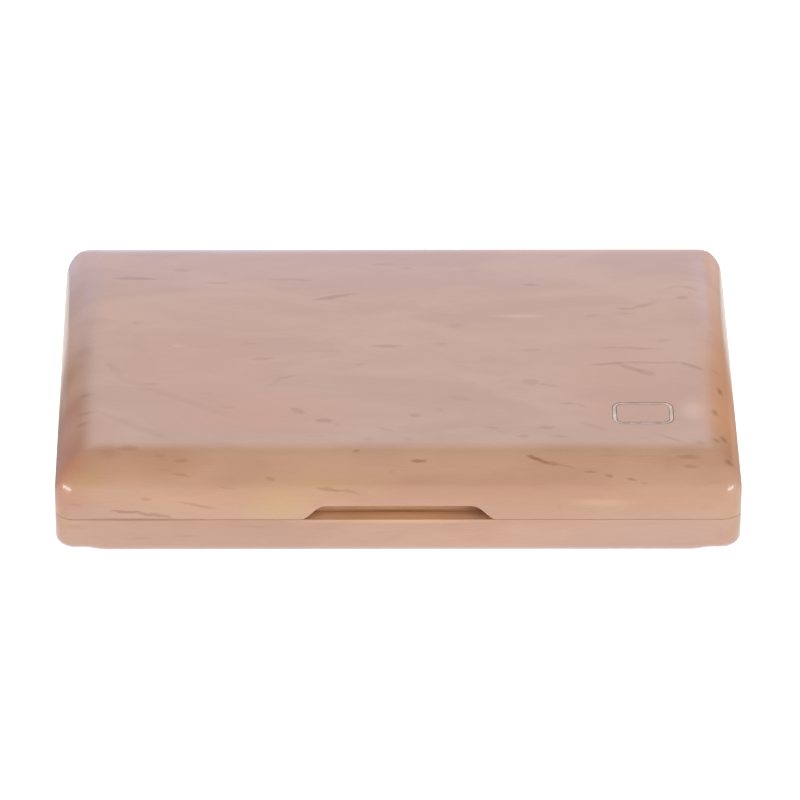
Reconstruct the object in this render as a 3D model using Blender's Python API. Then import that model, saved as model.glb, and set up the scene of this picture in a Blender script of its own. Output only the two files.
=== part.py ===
"""Hinged wooden case for single reeds, with a tray of six lanes in the base and another in the lid.

The case stands closed on its underside. +X runs along the hinge line, -Y is the front with the
thumb notch, and +Z is up. The origin is the centre of the underside. All lengths are in metres.
"""

import math

import bmesh
import bpy

# Case: two milled halves of one outline
CASE_WIDTH = 0.120
CASE_DEPTH = 0.0825
BASE_HEIGHT = 0.00675
LID_HEIGHT = 0.01135
SEAM_GAP = 0.0003
PLAN_CORNER_RADIUS = 0.0035

# Outer edges of the two halves
LID_EDGE_RADIUS = 0.0072
LID_MITRE_RADIUS = 0.0012
BASE_EDGE_RADIUS = 0.0020

# Underside, eased up at both ends so that the case stands on its middle
RELIEF_LENGTH = 0.0090
RELIEF_RAMP = 0.0040
RELIEF_HEIGHT = 0.00055

# Trays milled into the two halves
WALL = 0.0052
BACK_WALL = 0.0058
BASE_FLOOR = 0.0020
LID_CEILING = 0.0026
TRAY_CORNER_RADIUS = 0.0040

# Thumb notch in the lid's front lower edge
NOTCH_MOUTH_WIDTH = 0.0340
NOTCH_TOP_WIDTH = 0.0246
NOTCH_HEIGHT = 0.0027
NOTCH_DEPTH = 0.00295
NOTCH_EASE_SHARE = 1.3

# Clearances
SEAT_GAP = 0.0003
FIT_GAP = 0.00015
OVERRUN = 0.0010

# Tray lining: felt, glass plate, elastic bands and wooden dividers
LANES = 6
FELT_THICKNESS = 0.0006
GLASS_THICKNESS = 0.0015
GLASS_CORNER_RADIUS = 0.0030
GLASS_EDGE_CHAMFER = 0.0002
BAND_WIDTH = 0.0080
BAND_THICKNESS = 0.0005
BAND_BEND_RADIUS = 0.0003
BAND_PLACE_SHARE = 0.23
DIVIDER_WIDTH = 0.0016
DIVIDER_HEIGHT = 0.0017
DIVIDER_TOP_ROUND = 0.0005

# Magnets in the front corners of both rims
MAGNET_RADIUS = 0.0020
MAGNET_HEIGHT = 0.0020
MAGNET_CHAMFER = 0.0002

# Butt hinges let into the rims of the back wall
HINGE_LENGTH = 0.0180
HINGE_PLACE_SHARE = 0.30
HINGE_SETBACK = 0.0002
KNUCKLES = 5
KNUCKLE_GAP = 0.00015
LEAF_THICKNESS = 0.0007
LEAF_LAND = 0.0010
PIN_RADIUS = 0.0006
PIN_CLEARANCE = 0.00008
PIN_END = 0.00025

# Countersunk screws of the hinges
SCREW_SHANK_RADIUS = 0.0005
SCREW_HEAD_RADIUS = 0.0010
SCREW_HEAD_RIM = 0.0001
SCREW_LENGTH = 0.0045
SCREW_TIP_LENGTH = 0.0012
SCREW_TIP_RADIUS = 0.0001
SCREW_SLOT_WIDTH = 0.0003
SCREW_SLOT_DEPTH = 0.00025
SCREW_PLACE_SHARE = 0.30

# Smoothness of the round forms
CORNER_STEPS = 8
EDGE_STEPS = 12
BASE_EDGE_STEPS = 6
ROUND_STEPS = 16
RAMP_STEPS = 8
BEND_STEPS = 4

# Places that follow from the sizes
LID_RIM = BASE_HEIGHT + SEAM_GAP
CASE_HEIGHT = LID_RIM + LID_HEIGHT
TRAY_HALF_X = CASE_WIDTH / 2 - WALL
TRAY_HALF_Y = (CASE_DEPTH - WALL - BACK_WALL) / 2
TRAY_CENTRE_Y = (WALL - BACK_WALL) / 2

FELT_LOW = SEAT_GAP
FELT_HIGH = FELT_LOW + FELT_THICKNESS
GLASS_LOW = FELT_HIGH + SEAT_GAP
GLASS_HIGH = GLASS_LOW + GLASS_THICKNESS
BAND_LOW = GLASS_HIGH + SEAT_GAP
BAND_HIGH = BAND_LOW + BAND_THICKNESS
DIVIDER_LOW = GLASS_HIGH + SEAT_GAP
DIVIDER_HIGH = DIVIDER_LOW + DIVIDER_HEIGHT
GLASS_HALF_X = TRAY_HALF_X - BAND_THICKNESS - 2 * SEAT_GAP
GLASS_HALF_Y = TRAY_HALF_Y - SEAT_GAP
BAND_PLACE = BAND_PLACE_SHARE * 2 * TRAY_HALF_Y

HINGE_Y = CASE_DEPTH / 2 + HINGE_SETBACK
HINGE_Z = BASE_HEIGHT + SEAM_GAP / 2
HINGE_X = HINGE_PLACE_SHARE * CASE_WIDTH
BORE_RADIUS = PIN_RADIUS + PIN_CLEARANCE
BARREL_RADIUS = BORE_RADIUS + LEAF_THICKNESS
BARREL_RELIEF = BARREL_RADIUS + SEAT_GAP
LEAF_REACH = HINGE_SETBACK + BACK_WALL - LEAF_LAND
LEAF_NEAR = SEAM_GAP / 2
LEAF_FAR = LEAF_NEAR + LEAF_THICKNESS
SCREW_X = SCREW_PLACE_SHARE * HINGE_LENGTH
SCREW_Y = (BARREL_RELIEF + LEAF_REACH) / 2


# Shapes


def mesh_of(name, points, faces):
    """A closed mesh from points and faces, with its doubles merged and its faces out."""
    mesh = bpy.data.meshes.new(name)
    mesh.from_pydata(points, [], faces)
    shape = bmesh.new()
    shape.from_mesh(mesh)
    bmesh.ops.remove_doubles(shape, verts=shape.verts, dist=OVERRUN / 1000)
    bmesh.ops.recalc_face_normals(shape, faces=shape.faces)
    shape.to_mesh(mesh)
    shape.free()
    mesh.shade_smooth()
    mesh.set_sharp_from_angle(angle=math.radians(40))
    return mesh


def loft(name, rings):
    """A skin over rings of equal count, closed by a flat face on the first and the last."""
    count = len(rings[0])
    points = [point for ring in rings for point in ring]
    faces = [list(range(count)), [len(points) - count + i for i in range(count)]]
    for ring in range(len(rings) - 1):
        for i in range(count):
            here = ring * count
            after = (i + 1) % count
            faces.append([here + i, here + after, here + count + after, here + count + i])
    return mesh_of(name, points, faces)


def rounded_rectangle(half_x, half_y, radius, height, centre_y=0.0):
    """A level rectangle with round corners, anticlockwise from the right."""
    points = []
    for quarter, (side_x, side_y) in enumerate([(1, 1), (-1, 1), (-1, -1), (1, -1)]):
        for step in range(CORNER_STEPS + 1):
            angle = math.pi / 2 * (quarter + step / CORNER_STEPS)
            x = side_x * (half_x - radius) + radius * math.cos(angle)
            y = side_y * (half_y - radius) + radius * math.sin(angle)
            points.append((x, centre_y + y, height))
    return points


def circle(radius, height):
    """A level circle on the Z axis."""
    turns = [2 * math.pi * step / ROUND_STEPS for step in range(ROUND_STEPS)]
    return [(radius * math.cos(turn), radius * math.sin(turn), height) for turn in turns]


def turned(name, profile):
    """A round piece on the Z axis, from its radius at each height."""
    return loft(name, [circle(radius, height) for radius, height in profile])


def along_x(name, outline, start, end):
    """A bar whose outline in Y and Z runs from start to end along X."""
    return loft(name, [[(x, y, z) for y, z in outline] for x in (start, end)])


def along_y(name, outline, start, end):
    """A bar whose outline in X and Z runs from start to end along Y."""
    return loft(name, [[(x, y, z) for x, z in outline] for y in (start, end)])


def box_outline(low_a, high_a, low_b, high_b):
    """A plain rectangle."""
    return [(low_a, low_b), (high_a, low_b), (high_a, high_b), (low_a, high_b)]


def arc(centre_a, centre_b, radius, first, last, steps):
    """Points on an arc between two angles in degrees, both ends included."""
    turns = [math.radians(first + (last - first) * step / steps) for step in range(steps + 1)]
    return [(centre_a + radius * math.cos(turn), centre_b + radius * math.sin(turn)) for turn in turns]


# Objects


def finish(name, colour, roughness, metallic=0.0, transmission=0.0):
    """One piece's own material."""
    material = bpy.data.materials.new(name)
    material.use_nodes = True
    shader = material.node_tree.nodes["Principled BSDF"]
    shader.inputs["Base Color"].default_value = (*colour, 1.0)
    shader.inputs["Roughness"].default_value = roughness
    shader.inputs["Metallic"].default_value = metallic
    shader.inputs["Transmission Weight"].default_value = transmission
    return material


WOOD = ((0.60, 0.41, 0.31), 0.35)
STRIP_WOOD = ((0.66, 0.47, 0.34), 0.45)
FELT = ((0.10, 0.05, 0.05), 0.95)
ELASTIC = ((0.04, 0.04, 0.05), 0.80)
GLASS = ((0.85, 0.92, 0.90), 0.05, 0.0, 0.9)
BRASS = ((0.80, 0.58, 0.26), 0.25, 1.0)
STEEL = ((0.66, 0.67, 0.69), 0.25, 1.0)


def place(name, mesh, look=None, at=(0, 0, 0), turn=(0, 0, 0), carrier=None):
    """An object of the mesh, in a carrier's frame where it has one."""
    thing = bpy.data.objects.new(name, mesh)
    bpy.context.scene.collection.objects.link(thing)
    thing.location = at
    thing.rotation_euler = turn
    if carrier:
        thing.parent = carrier
        thing.matrix_parent_inverse = carrier.matrix_world.inverted()
    if look:
        if not mesh.materials:
            mesh.materials.append(None)
        thing.material_slots[0].link = "OBJECT"
        thing.material_slots[0].material = finish(name, *look)
    return thing


def tool(name, mesh, at=(0, 0, 0), turn=(0, 0, 0)):
    """A helper shape that cuts or joins, and isn't part of the case."""
    helper = place(name, mesh, at=at, turn=turn)
    helper.hide_render = True
    helper.display_type = "WIRE"
    return helper


def work(piece, helper, operation="DIFFERENCE"):
    """One Boolean of a helper on a piece."""
    change = piece.modifiers.new(helper.name, "BOOLEAN")
    change.operation = operation
    change.solver = "EXACT"
    change.object = helper


# The two milled halves


def tray_wall_rings(floor, rim):
    """The tray's floor edge, its wall, and the rim's inner edge."""
    inside = (TRAY_HALF_X, TRAY_HALF_Y, TRAY_CORNER_RADIUS)
    return [rounded_rectangle(*inside, height, TRAY_CENTRE_Y) for height in (floor, rim)]


def outside_ring(inset, least_radius, height):
    """The case's outline drawn in by inset."""
    radius = max(PLAN_CORNER_RADIUS - inset, least_radius)
    return rounded_rectangle(CASE_WIDTH / 2 - inset, CASE_DEPTH / 2 - inset, radius, height)


def rounded_edge_rings(radius, least_radius, start, direction, steps):
    """Rings of a quarter-round edge that leaves the wall at start, upwards or downwards."""
    rings = []
    for step in range(steps + 1):
        angle = math.pi / 2 * step / steps
        inset = radius * (1 - math.cos(angle))
        rings.append(outside_ring(inset, least_radius, start + direction * radius * math.sin(angle)))
    return rings


def make_base_shell():
    """The lower half: tray, rim, wall and the rounded bottom edge, from the inside out."""
    rings = tray_wall_rings(BASE_FLOOR, BASE_HEIGHT)
    rings.append(outside_ring(0.0, PLAN_CORNER_RADIUS, BASE_HEIGHT))
    least = PLAN_CORNER_RADIUS - BASE_EDGE_RADIUS
    rings += rounded_edge_rings(BASE_EDGE_RADIUS, least, BASE_EDGE_RADIUS, -1, BASE_EDGE_STEPS)
    shell = place("base_shell", loft("base_shell", rings), WOOD)
    relief = [
        (CASE_WIDTH / 2 - RELIEF_LENGTH, -OVERRUN),
        (CASE_WIDTH / 2 - RELIEF_LENGTH, 0.0),
        (CASE_WIDTH / 2 - RELIEF_LENGTH + RELIEF_RAMP, RELIEF_HEIGHT),
        (CASE_WIDTH / 2 + OVERRUN, RELIEF_HEIGHT),
        (CASE_WIDTH / 2 + OVERRUN, -OVERRUN),
    ]
    reach = CASE_DEPTH / 2 + OVERRUN
    end_relief = along_y("end_relief", relief, -reach, reach)
    work(shell, tool("end_relief_right", end_relief))
    work(shell, tool("end_relief_left", end_relief, turn=(0, 0, math.pi)))
    return shell


def notch_outline():
    """The thumb notch from the front. Its ramps are round where they meet the top and tighter at the rim."""
    left = [(-NOTCH_MOUTH_WIDTH / 2, -OVERRUN)]
    for step in range(RAMP_STEPS + 1):
        share = step / RAMP_STEPS
        x = -NOTCH_MOUTH_WIDTH / 2 + share * (NOTCH_MOUTH_WIDTH - NOTCH_TOP_WIDTH) / 2
        fall = (1 - share) ** NOTCH_EASE_SHARE
        left.append((x, NOTCH_HEIGHT * (1 + math.cos(math.pi * fall)) / 2))
    return left + [(-x, z) for x, z in reversed(left)]


def make_lid_shell(carrier):
    """The upper half: ceiling, tray, rim, wall and the wide rounded top edge, from the inside out."""
    rings = tray_wall_rings(LID_HEIGHT - LID_CEILING, 0.0)
    rings.append(outside_ring(0.0, LID_MITRE_RADIUS, 0.0))
    start = LID_HEIGHT - LID_EDGE_RADIUS
    rings += rounded_edge_rings(LID_EDGE_RADIUS, LID_MITRE_RADIUS, start, 1, EDGE_STEPS)
    shell = place("lid_shell", loft("lid_shell", rings), WOOD, at=(0, 0, LID_RIM), carrier=carrier)
    front = -CASE_DEPTH / 2
    notch = along_y("thumb_notch", notch_outline(), front - OVERRUN, front + NOTCH_DEPTH)
    work(shell, tool("thumb_notch", notch, at=(0, 0, LID_RIM)))
    return shell


# What lies in a tray, drawn with the tray's floor at zero height


def band_outline():
    """A band along the glass, with both ends turned down past it, as a strip in X and Z."""
    inner_x = GLASS_HALF_X + SEAT_GAP
    outer_x = inner_x + BAND_THICKNESS
    bend = BAND_BEND_RADIUS
    outer_bend = bend + BAND_THICKNESS
    corner_x = inner_x - bend
    corner_z = BAND_LOW - bend
    over = [(outer_x, FELT_LOW)] + arc(corner_x, corner_z, outer_bend, 0, 90, BEND_STEPS)
    under = arc(corner_x, corner_z, bend, 90, 0, BEND_STEPS) + [(inner_x, FELT_LOW)]
    mirrored_over = [(-x, z) for x, z in reversed(over)]
    mirrored_under = [(-x, z) for x, z in reversed(under)]
    return over + mirrored_over + mirrored_under + under


def divider_outline():
    """A divider strip's section: flat below and rounded above."""
    half = DIVIDER_WIDTH / 2
    high = DIVIDER_HIGH - DIVIDER_TOP_ROUND
    edge = half - DIVIDER_TOP_ROUND
    right = [(half, DIVIDER_LOW)] + arc(edge, high, DIVIDER_TOP_ROUND, 0, 90, BEND_STEPS)
    return right + [(-x, z) for x, z in reversed(right)]


def plate(name, low, high, chamfer):
    """A flat sheet of the glass's outline, with its edges taken off."""
    rings = []
    for inset, height in ((chamfer, low), (0, low + chamfer), (0, high - chamfer), (chamfer, high)):
        size = (GLASS_HALF_X - inset, GLASS_HALF_Y - inset, GLASS_CORNER_RADIUS - inset)
        rings.append(rounded_rectangle(*size, height))
    return loft(name, rings)


def make_tray_meshes():
    """The meshes that both trays share."""
    half_y = GLASS_HALF_Y
    half_band = BAND_WIDTH / 2
    slot_half = half_band + SEAT_GAP
    slot_outline = box_outline(-slot_half, slot_half, DIVIDER_LOW - OVERRUN, BAND_HIGH + FIT_GAP)
    felt_chamfer = FELT_THICKNESS / 4
    return {
        "felt": plate("felt", FELT_LOW, FELT_HIGH, felt_chamfer),
        "glass": plate("glass", GLASS_LOW, GLASS_HIGH, GLASS_EDGE_CHAMFER),
        "band": along_y("band", band_outline(), -half_band, half_band),
        "divider": along_y("divider", divider_outline(), -half_y, half_y),
        "band_slot": along_x("band_slot", slot_outline, -TRAY_HALF_X, TRAY_HALF_X),
    }


def fill_tray(half, meshes, floor_z, turn, carrier):
    """Felt, glass, bands and dividers of one tray, set on its floor."""
    frame = {"turn": (turn, 0, 0), "carrier": carrier}
    floor = (0, TRAY_CENTRE_Y, floor_z)
    place(f"{half}_felt", meshes["felt"], FELT, at=floor, **frame)
    place(f"{half}_glass", meshes["glass"], GLASS, at=floor, **frame)
    slots = []
    for where, side in (("front", -1), ("rear", 1)):
        spot = (0, TRAY_CENTRE_Y + side * BAND_PLACE, floor_z)
        place(f"{half}_band_{where}", meshes["band"], ELASTIC, at=spot, **frame)
        slots.append(tool(f"{half}_slot_{where}", meshes["band_slot"], at=spot, turn=(turn, 0, 0)))
    for number in range(1, LANES):
        x = TRAY_HALF_X * (2 * number / LANES - 1)
        spot = (x, TRAY_CENTRE_Y, floor_z)
        strip = place(f"{half}_divider_{number}", meshes["divider"], STRIP_WOOD, at=spot, **frame)
        for slot in slots:
            work(strip, slot)


# Magnets


def magnet_place(side, rim):
    """The middle of the wood between the outline's corner and the tray's corner."""
    corner_share = 1 - math.cos(math.pi / 4)
    outer = PLAN_CORNER_RADIUS * corner_share
    inner = WALL + TRAY_CORNER_RADIUS * corner_share
    inset = (outer + inner) / 2
    return (side * (CASE_WIDTH / 2 - inset), inset - CASE_DEPTH / 2, rim)


def fit_magnets(half, shell, rim, turn, carrier):
    """Two magnets, flush with the rim, each in its own pocket."""
    chamfer = MAGNET_CHAMFER
    profile = [
        (MAGNET_RADIUS - chamfer, -MAGNET_HEIGHT),
        (MAGNET_RADIUS, chamfer - MAGNET_HEIGHT),
        (MAGNET_RADIUS, -chamfer),
        (MAGNET_RADIUS - chamfer, 0.0),
    ]
    pocket_radius = MAGNET_RADIUS + FIT_GAP
    disc = turned(f"{half}_magnet", profile)
    hole = [(pocket_radius, -MAGNET_HEIGHT - SEAT_GAP), (pocket_radius, OVERRUN)]
    pocket = turned(f"{half}_magnet_pocket", hole)
    for name, side in (("left", -1), ("right", 1)):
        spot = magnet_place(side, rim)
        place(f"{half}_magnet_{name}", disc, STEEL, at=spot, turn=(turn, 0, 0), carrier=carrier)
        work(shell, tool(f"{half}_magnet_pocket_{name}", pocket, at=spot, turn=(turn, 0, 0)))


# Hinges, drawn with the pin's middle at the origin


def knuckle_span(number):
    """Where a knuckle starts and ends along the pin."""
    length = (HINGE_LENGTH + KNUCKLE_GAP) / KNUCKLES
    start = number * length - HINGE_LENGTH / 2
    return start, start + length - KNUCKLE_GAP


def knuckle_outline(side):
    """A strap that leaves the leaf and rolls once round the pin. Side is -1 below the seam, 1 above."""
    strap_start = -BARREL_RELIEF - LEAF_THICKNESS
    near = 180 - math.degrees(math.asin(LEAF_NEAR / BARREL_RADIUS))
    far = 180 - math.degrees(math.asin(min(1, LEAF_FAR / BARREL_RADIUS)))
    roll = arc(0, 0, BARREL_RADIUS, near, far + 360, ROUND_STEPS)
    outline = [(strap_start, LEAF_NEAR)] + roll + [(strap_start, LEAF_FAR)]
    return [(y, side * z) for y, z in outline]


def mortise_outline(side):
    """The recess for a leaf and the barrel beside it, open at the back and at the seam."""
    depth = LEAF_FAR + SEAT_GAP
    shoulder = math.degrees(math.asin(min(1, depth / BARREL_RELIEF)))
    inner = -LEAF_REACH - SEAT_GAP
    bottom = [(y, max(z, depth)) for y, z in arc(0, 0, BARREL_RELIEF, 180 - shoulder, 90, BEND_STEPS)]
    behind = [(BARREL_RELIEF, bottom[-1][1]), (BARREL_RELIEF, 0.0)]
    outline = [(inner, 0.0), (inner, depth)] + bottom + behind
    return [(y, side * z) for y, z in outline]


def make_leaf_meshes(side, numbers):
    """A leaf's plate, its knuckles, and what is bored out of both."""
    half = HINGE_LENGTH / 2
    low, high = sorted((side * LEAF_NEAR, side * LEAF_FAR))
    mesh = along_x("leaf", box_outline(-LEAF_REACH, -BARREL_RELIEF, low, high), -half, half)
    knuckles = [along_x("knuckle", knuckle_outline(side), *knuckle_span(n)) for n in numbers]
    bore = turned("bore", [(BORE_RADIUS, -half - OVERRUN), (BORE_RADIUS, half + OVERRUN)])
    gap = FIT_GAP
    sink = [
        (SCREW_SHANK_RADIUS + gap, -LEAF_THICKNESS - OVERRUN),
        (SCREW_SHANK_RADIUS + gap, SCREW_SHANK_RADIUS - SCREW_HEAD_RADIUS - SCREW_HEAD_RIM),
        (SCREW_HEAD_RADIUS + gap, -SCREW_HEAD_RIM),
        (SCREW_HEAD_RADIUS + gap, SEAM_GAP / 3),
    ]
    return {"leaf": mesh, "knuckles": knuckles, "bore": bore, "sink": turned("sink", sink)}


def make_screw_meshes():
    """A countersunk wood screw, point down, its head's top at the origin, and its slot and hole."""
    cone = SCREW_SHANK_RADIUS - SCREW_HEAD_RADIUS - SCREW_HEAD_RIM
    profile = [
        (SCREW_TIP_RADIUS, -SCREW_LENGTH),
        (SCREW_SHANK_RADIUS, SCREW_TIP_LENGTH - SCREW_LENGTH),
        (SCREW_SHANK_RADIUS, cone),
        (SCREW_HEAD_RADIUS, -SCREW_HEAD_RIM),
        (SCREW_HEAD_RADIUS, 0.0),
    ]
    slot_half = SCREW_SLOT_WIDTH / 2
    slot = box_outline(-slot_half, slot_half, -SCREW_SLOT_DEPTH, SCREW_SLOT_DEPTH)
    reach = SCREW_HEAD_RADIUS + SCREW_SLOT_DEPTH
    hole_radius = SCREW_SHANK_RADIUS + FIT_GAP
    hole = [(hole_radius, -SCREW_LENGTH - SEAT_GAP), (hole_radius, 0.0)]
    return {
        "screw": turned("screw", profile),
        "slot": along_x("screw_slot", slot, -reach, reach),
        "hole": turned("screw_hole", hole),
    }


def hang_leaf(name, parts, x, carrier):
    """One leaf with its knuckles joined on and its pin bore cut through."""
    axis = (x, HINGE_Y, HINGE_Z)
    leaf = place(name, parts["leaf"], BRASS, at=axis, carrier=carrier)
    for number, knuckle in enumerate(parts["knuckles"]):
        work(leaf, tool(f"{name}_knuckle_{number}", knuckle, at=axis), "UNION")
    work(leaf, tool(f"{name}_bore", parts["bore"], at=axis, turn=(0, math.pi / 2, 0)))
    return leaf


def drive_screws(name, half, leaf, shell, parts, screws, hinge_x, carrier):
    """Two screws through a leaf into its half, and the holes that they need in both."""
    side = -1 if half == "base" else 1
    turn = (math.pi if side > 0 else 0, 0, 0)
    face = HINGE_Z + side * LEAF_NEAR
    for number, x in enumerate((hinge_x - SCREW_X, hinge_x + SCREW_X), start=1):
        spot = (x, HINGE_Y - SCREW_Y, face)
        screw_name = f"{name}_{half}_screw_{number}"
        screw = place(screw_name, screws["screw"], BRASS, at=spot, turn=turn, carrier=carrier)
        work(screw, tool(f"{screw_name}_slot", screws["slot"], at=spot, turn=turn))
        work(leaf, tool(f"{screw_name}_sink", parts["sink"], at=spot, turn=turn))
        work(shell, tool(f"{screw_name}_hole", screws["hole"], at=spot, turn=turn))


def make_hinge(name, x, leaf_meshes, screws, shells, carriers):
    """A butt hinge: a leaf on each half, their screws, and the pin that joins them."""
    axis = (x, HINGE_Y, HINGE_Z)
    half_recess = HINGE_LENGTH / 2 + SEAT_GAP
    for half, side in (("base", -1), ("lid", 1)):
        parts = leaf_meshes[half]
        leaf = hang_leaf(f"{name}_{half}_leaf", parts, x, carriers[half])
        recess = along_x("mortise", mortise_outline(side), -half_recess, half_recess)
        work(shells[half], tool(f"{name}_{half}_mortise", recess, at=axis))
        drive_screws(name, half, leaf, shells[half], parts, screws, x, carriers[half])
    pin_half = HINGE_LENGTH / 2 + PIN_END
    ends = [(PIN_RADIUS / 2, pin_half), (PIN_RADIUS, pin_half - PIN_END)]
    profile = [(radius, -height) for radius, height in ends] + ends[::-1]
    place(f"{name}_pin", turned("pin", profile), BRASS, at=axis, turn=(0, math.pi / 2, 0))


def build_case():
    """All the pieces, with the lid's carried by an empty on the hinge axis."""
    for thing in list(bpy.data.objects):
        bpy.data.objects.remove(thing)
    axis = bpy.data.objects.new("lid_hinge_axis", None)
    bpy.context.scene.collection.objects.link(axis)
    axis.location = (0, HINGE_Y, HINGE_Z)
    bpy.context.view_layer.update()
    carriers = {"base": None, "lid": axis}

    shells = {"base": make_base_shell(), "lid": make_lid_shell(axis)}
    tray_meshes = make_tray_meshes()
    fill_tray("base", tray_meshes, BASE_FLOOR, 0, None)
    fill_tray("lid", tray_meshes, CASE_HEIGHT - LID_CEILING, math.pi, axis)
    fit_magnets("base", shells["base"], BASE_HEIGHT, 0, None)
    fit_magnets("lid", shells["lid"], LID_RIM, math.pi, axis)

    base_knuckles = range(0, KNUCKLES, 2)
    lid_knuckles = range(1, KNUCKLES, 2)
    leaf_meshes = {
        "base": make_leaf_meshes(-1, base_knuckles),
        "lid": make_leaf_meshes(1, lid_knuckles),
    }
    screws = make_screw_meshes()
    for name, side in (("hinge_left", -1), ("hinge_right", 1)):
        make_hinge(name, side * HINGE_X, leaf_meshes, screws, shells, carriers)


build_case()
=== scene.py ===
"""Looks of the wooden reed case: camera, light, the two milled halves, the lining, magnets and hinges.

Metres, +Z up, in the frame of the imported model. Each section holds one piece or group of pieces.
"""

import math

import bmesh
import bpy
import numpy as np
from mathutils import Matrix, Vector


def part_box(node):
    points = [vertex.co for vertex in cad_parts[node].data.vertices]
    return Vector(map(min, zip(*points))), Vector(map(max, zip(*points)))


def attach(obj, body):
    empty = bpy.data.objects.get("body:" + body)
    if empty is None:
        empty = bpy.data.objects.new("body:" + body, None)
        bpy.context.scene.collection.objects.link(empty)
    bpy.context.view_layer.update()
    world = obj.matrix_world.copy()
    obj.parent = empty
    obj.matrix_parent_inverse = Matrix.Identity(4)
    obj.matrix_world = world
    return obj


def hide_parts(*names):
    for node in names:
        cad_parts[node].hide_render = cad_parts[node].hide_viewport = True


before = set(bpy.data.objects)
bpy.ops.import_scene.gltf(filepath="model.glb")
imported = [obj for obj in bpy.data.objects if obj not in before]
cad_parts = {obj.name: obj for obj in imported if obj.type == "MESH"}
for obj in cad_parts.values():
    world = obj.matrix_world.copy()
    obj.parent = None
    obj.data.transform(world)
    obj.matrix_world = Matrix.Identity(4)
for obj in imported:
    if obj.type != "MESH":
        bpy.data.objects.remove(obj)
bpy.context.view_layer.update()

scene = bpy.context.scene


# Camera
# It stands 1.39 m in front of the case, 30 degrees up and a hair to the left, with a long lens,
# and looks at the lid's flat top a little in front of its middle.

CAMERA_RISE = math.radians(30.098)
CAMERA_TURN = math.radians(-0.727)
CAMERA_ROLL = math.radians(0.337)
CAMERA_DISTANCE = 1.3887
CAMERA_AIM = Vector((0.00042, -0.01934, 0.0184))
CAMERA_LENS = 347.96


def direction(turn, rise):
    """The unit vector that points turn round from the front, towards +X, and rise up."""
    level = math.cos(rise)
    return Vector((math.sin(turn) * level, -math.cos(turn) * level, math.sin(rise)))


def make_camera():
    """The camera, turned about its own line of sight by the roll."""
    stand = direction(CAMERA_TURN, CAMERA_RISE) * CAMERA_DISTANCE
    back = (stand - CAMERA_AIM).normalized()
    right = Vector((0, 0, 1)).cross(back).normalized()
    up = back.cross(right)
    level = Matrix((right, up, back)).transposed()
    camera = bpy.data.objects.new("camera", bpy.data.cameras.new("camera"))
    scene.collection.objects.link(camera)
    camera.data.lens = CAMERA_LENS
    camera.data.clip_start = 0.05
    camera.data.clip_end = 20
    camera.matrix_world = Matrix.Translation(stand) @ (level @ Matrix.Rotation(CAMERA_ROLL, 3, "Z")).to_4x4()
    scene.camera = camera


make_camera()


# Light
# A white table in a white room, a little brighter in front. What the lacquer mirrors is set apart
# from what lights it: a pale card close behind, bright air low in front, and dark all round.

ROOM_BRIGHTNESS, FRONT_EXTRA = 0.76, 0.57
DARK_COLOUR, DARK_BRIGHTNESS = (0.95, 0.93, 1.0, 1), 0.25
TABLE_HALF = 4.0
TABLE_COLOUR = (0.93, 0.93, 0.93, 1)
TABLE_GLOW, TABLE_SHOWN = 0.30, 0.5
TABLE_DIM = 0.30
MIRROR_TINT, MIRROR_EXTRA = (0.48, 0.85, 1.28, 1), 0.66
WARM_TINT, WARM_EXTRA = (1.00, 0.50, 0.22, 1), 0.16
CARD_FEET = (0.76, 0.84, 1.12, 1), (0.76, 0.63, 0.64, 1)
CARD_LOW, CARD_HIGH, CARD_END = (0.80, 0.94, 1.34, 1), (0.79, 0.80, 0.91, 1), (0.56, 0.34, 0.22, 1)
CARD_BRIGHTNESS = 1.39
CARD_Y, CARD_LEFT, CARD_RIGHT, CARD_TOP = 0.068, -0.108, 0.140, 0.32
CARD_FADES = (("Z", CARD_TOP, 0.07), ("Z", -0.020, 0.018), ("X", CARD_LEFT, -0.060), ("X", CARD_RIGHT, 0.080))
LEFT_STRIP, RIGHT_STRIP = ((-0.095, -0.144), (-0.181, -0.081), 0.012), ((0.101, -0.108), (0.150, -0.078), 0.008)
STRIP_BRIGHTNESS = 12.0


def add_node(tree, kind, inputs=None, **settings):
    """A node with its settings, and each input set to a value or joined to another node's output."""
    node = tree.nodes.new(kind)
    for key, value in settings.items():
        setattr(node, key, value)
    for key, value in (inputs or {}).items():
        if isinstance(value, bpy.types.NodeSocket):
            tree.links.new(value, node.inputs[key])
        else:
            node.inputs[key].default_value = value
    return node


def maths(tree, operation, first, second=0.0, third=0.0, clamp=False):
    """One sum on values or outputs."""
    node = add_node(tree, "ShaderNodeMath", {0: first, 1: second, 2: third}, operation=operation, use_clamp=clamp)
    return node.outputs[0]


def spread(tree, value, low, high, to_low=0.0, to_high=1.0):
    """A value eased from one range to another."""
    node = add_node(tree, "ShaderNodeMapRange", {"Value": value, "From Min": low, "From Max": high,
                                                 "To Min": to_low, "To Max": to_high},
                    interpolation_type="SMOOTHSTEP")
    return node.outputs["Result"]


def mix_colour(tree, factor, first, second, blend="MIX"):
    """The colour between two others, by a factor."""
    return add_node(tree, "ShaderNodeMix", {0: factor, 6: first, 7: second}, data_type="RGBA",
                    blend_type=blend).outputs[2]


def new_material(name):
    """A material with nodes, its tree and its Principled shader."""
    material = bpy.data.materials.new(name)
    material.use_nodes = True
    tree = material.node_tree
    return material, tree, tree.nodes["Principled BSDF"]


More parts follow.
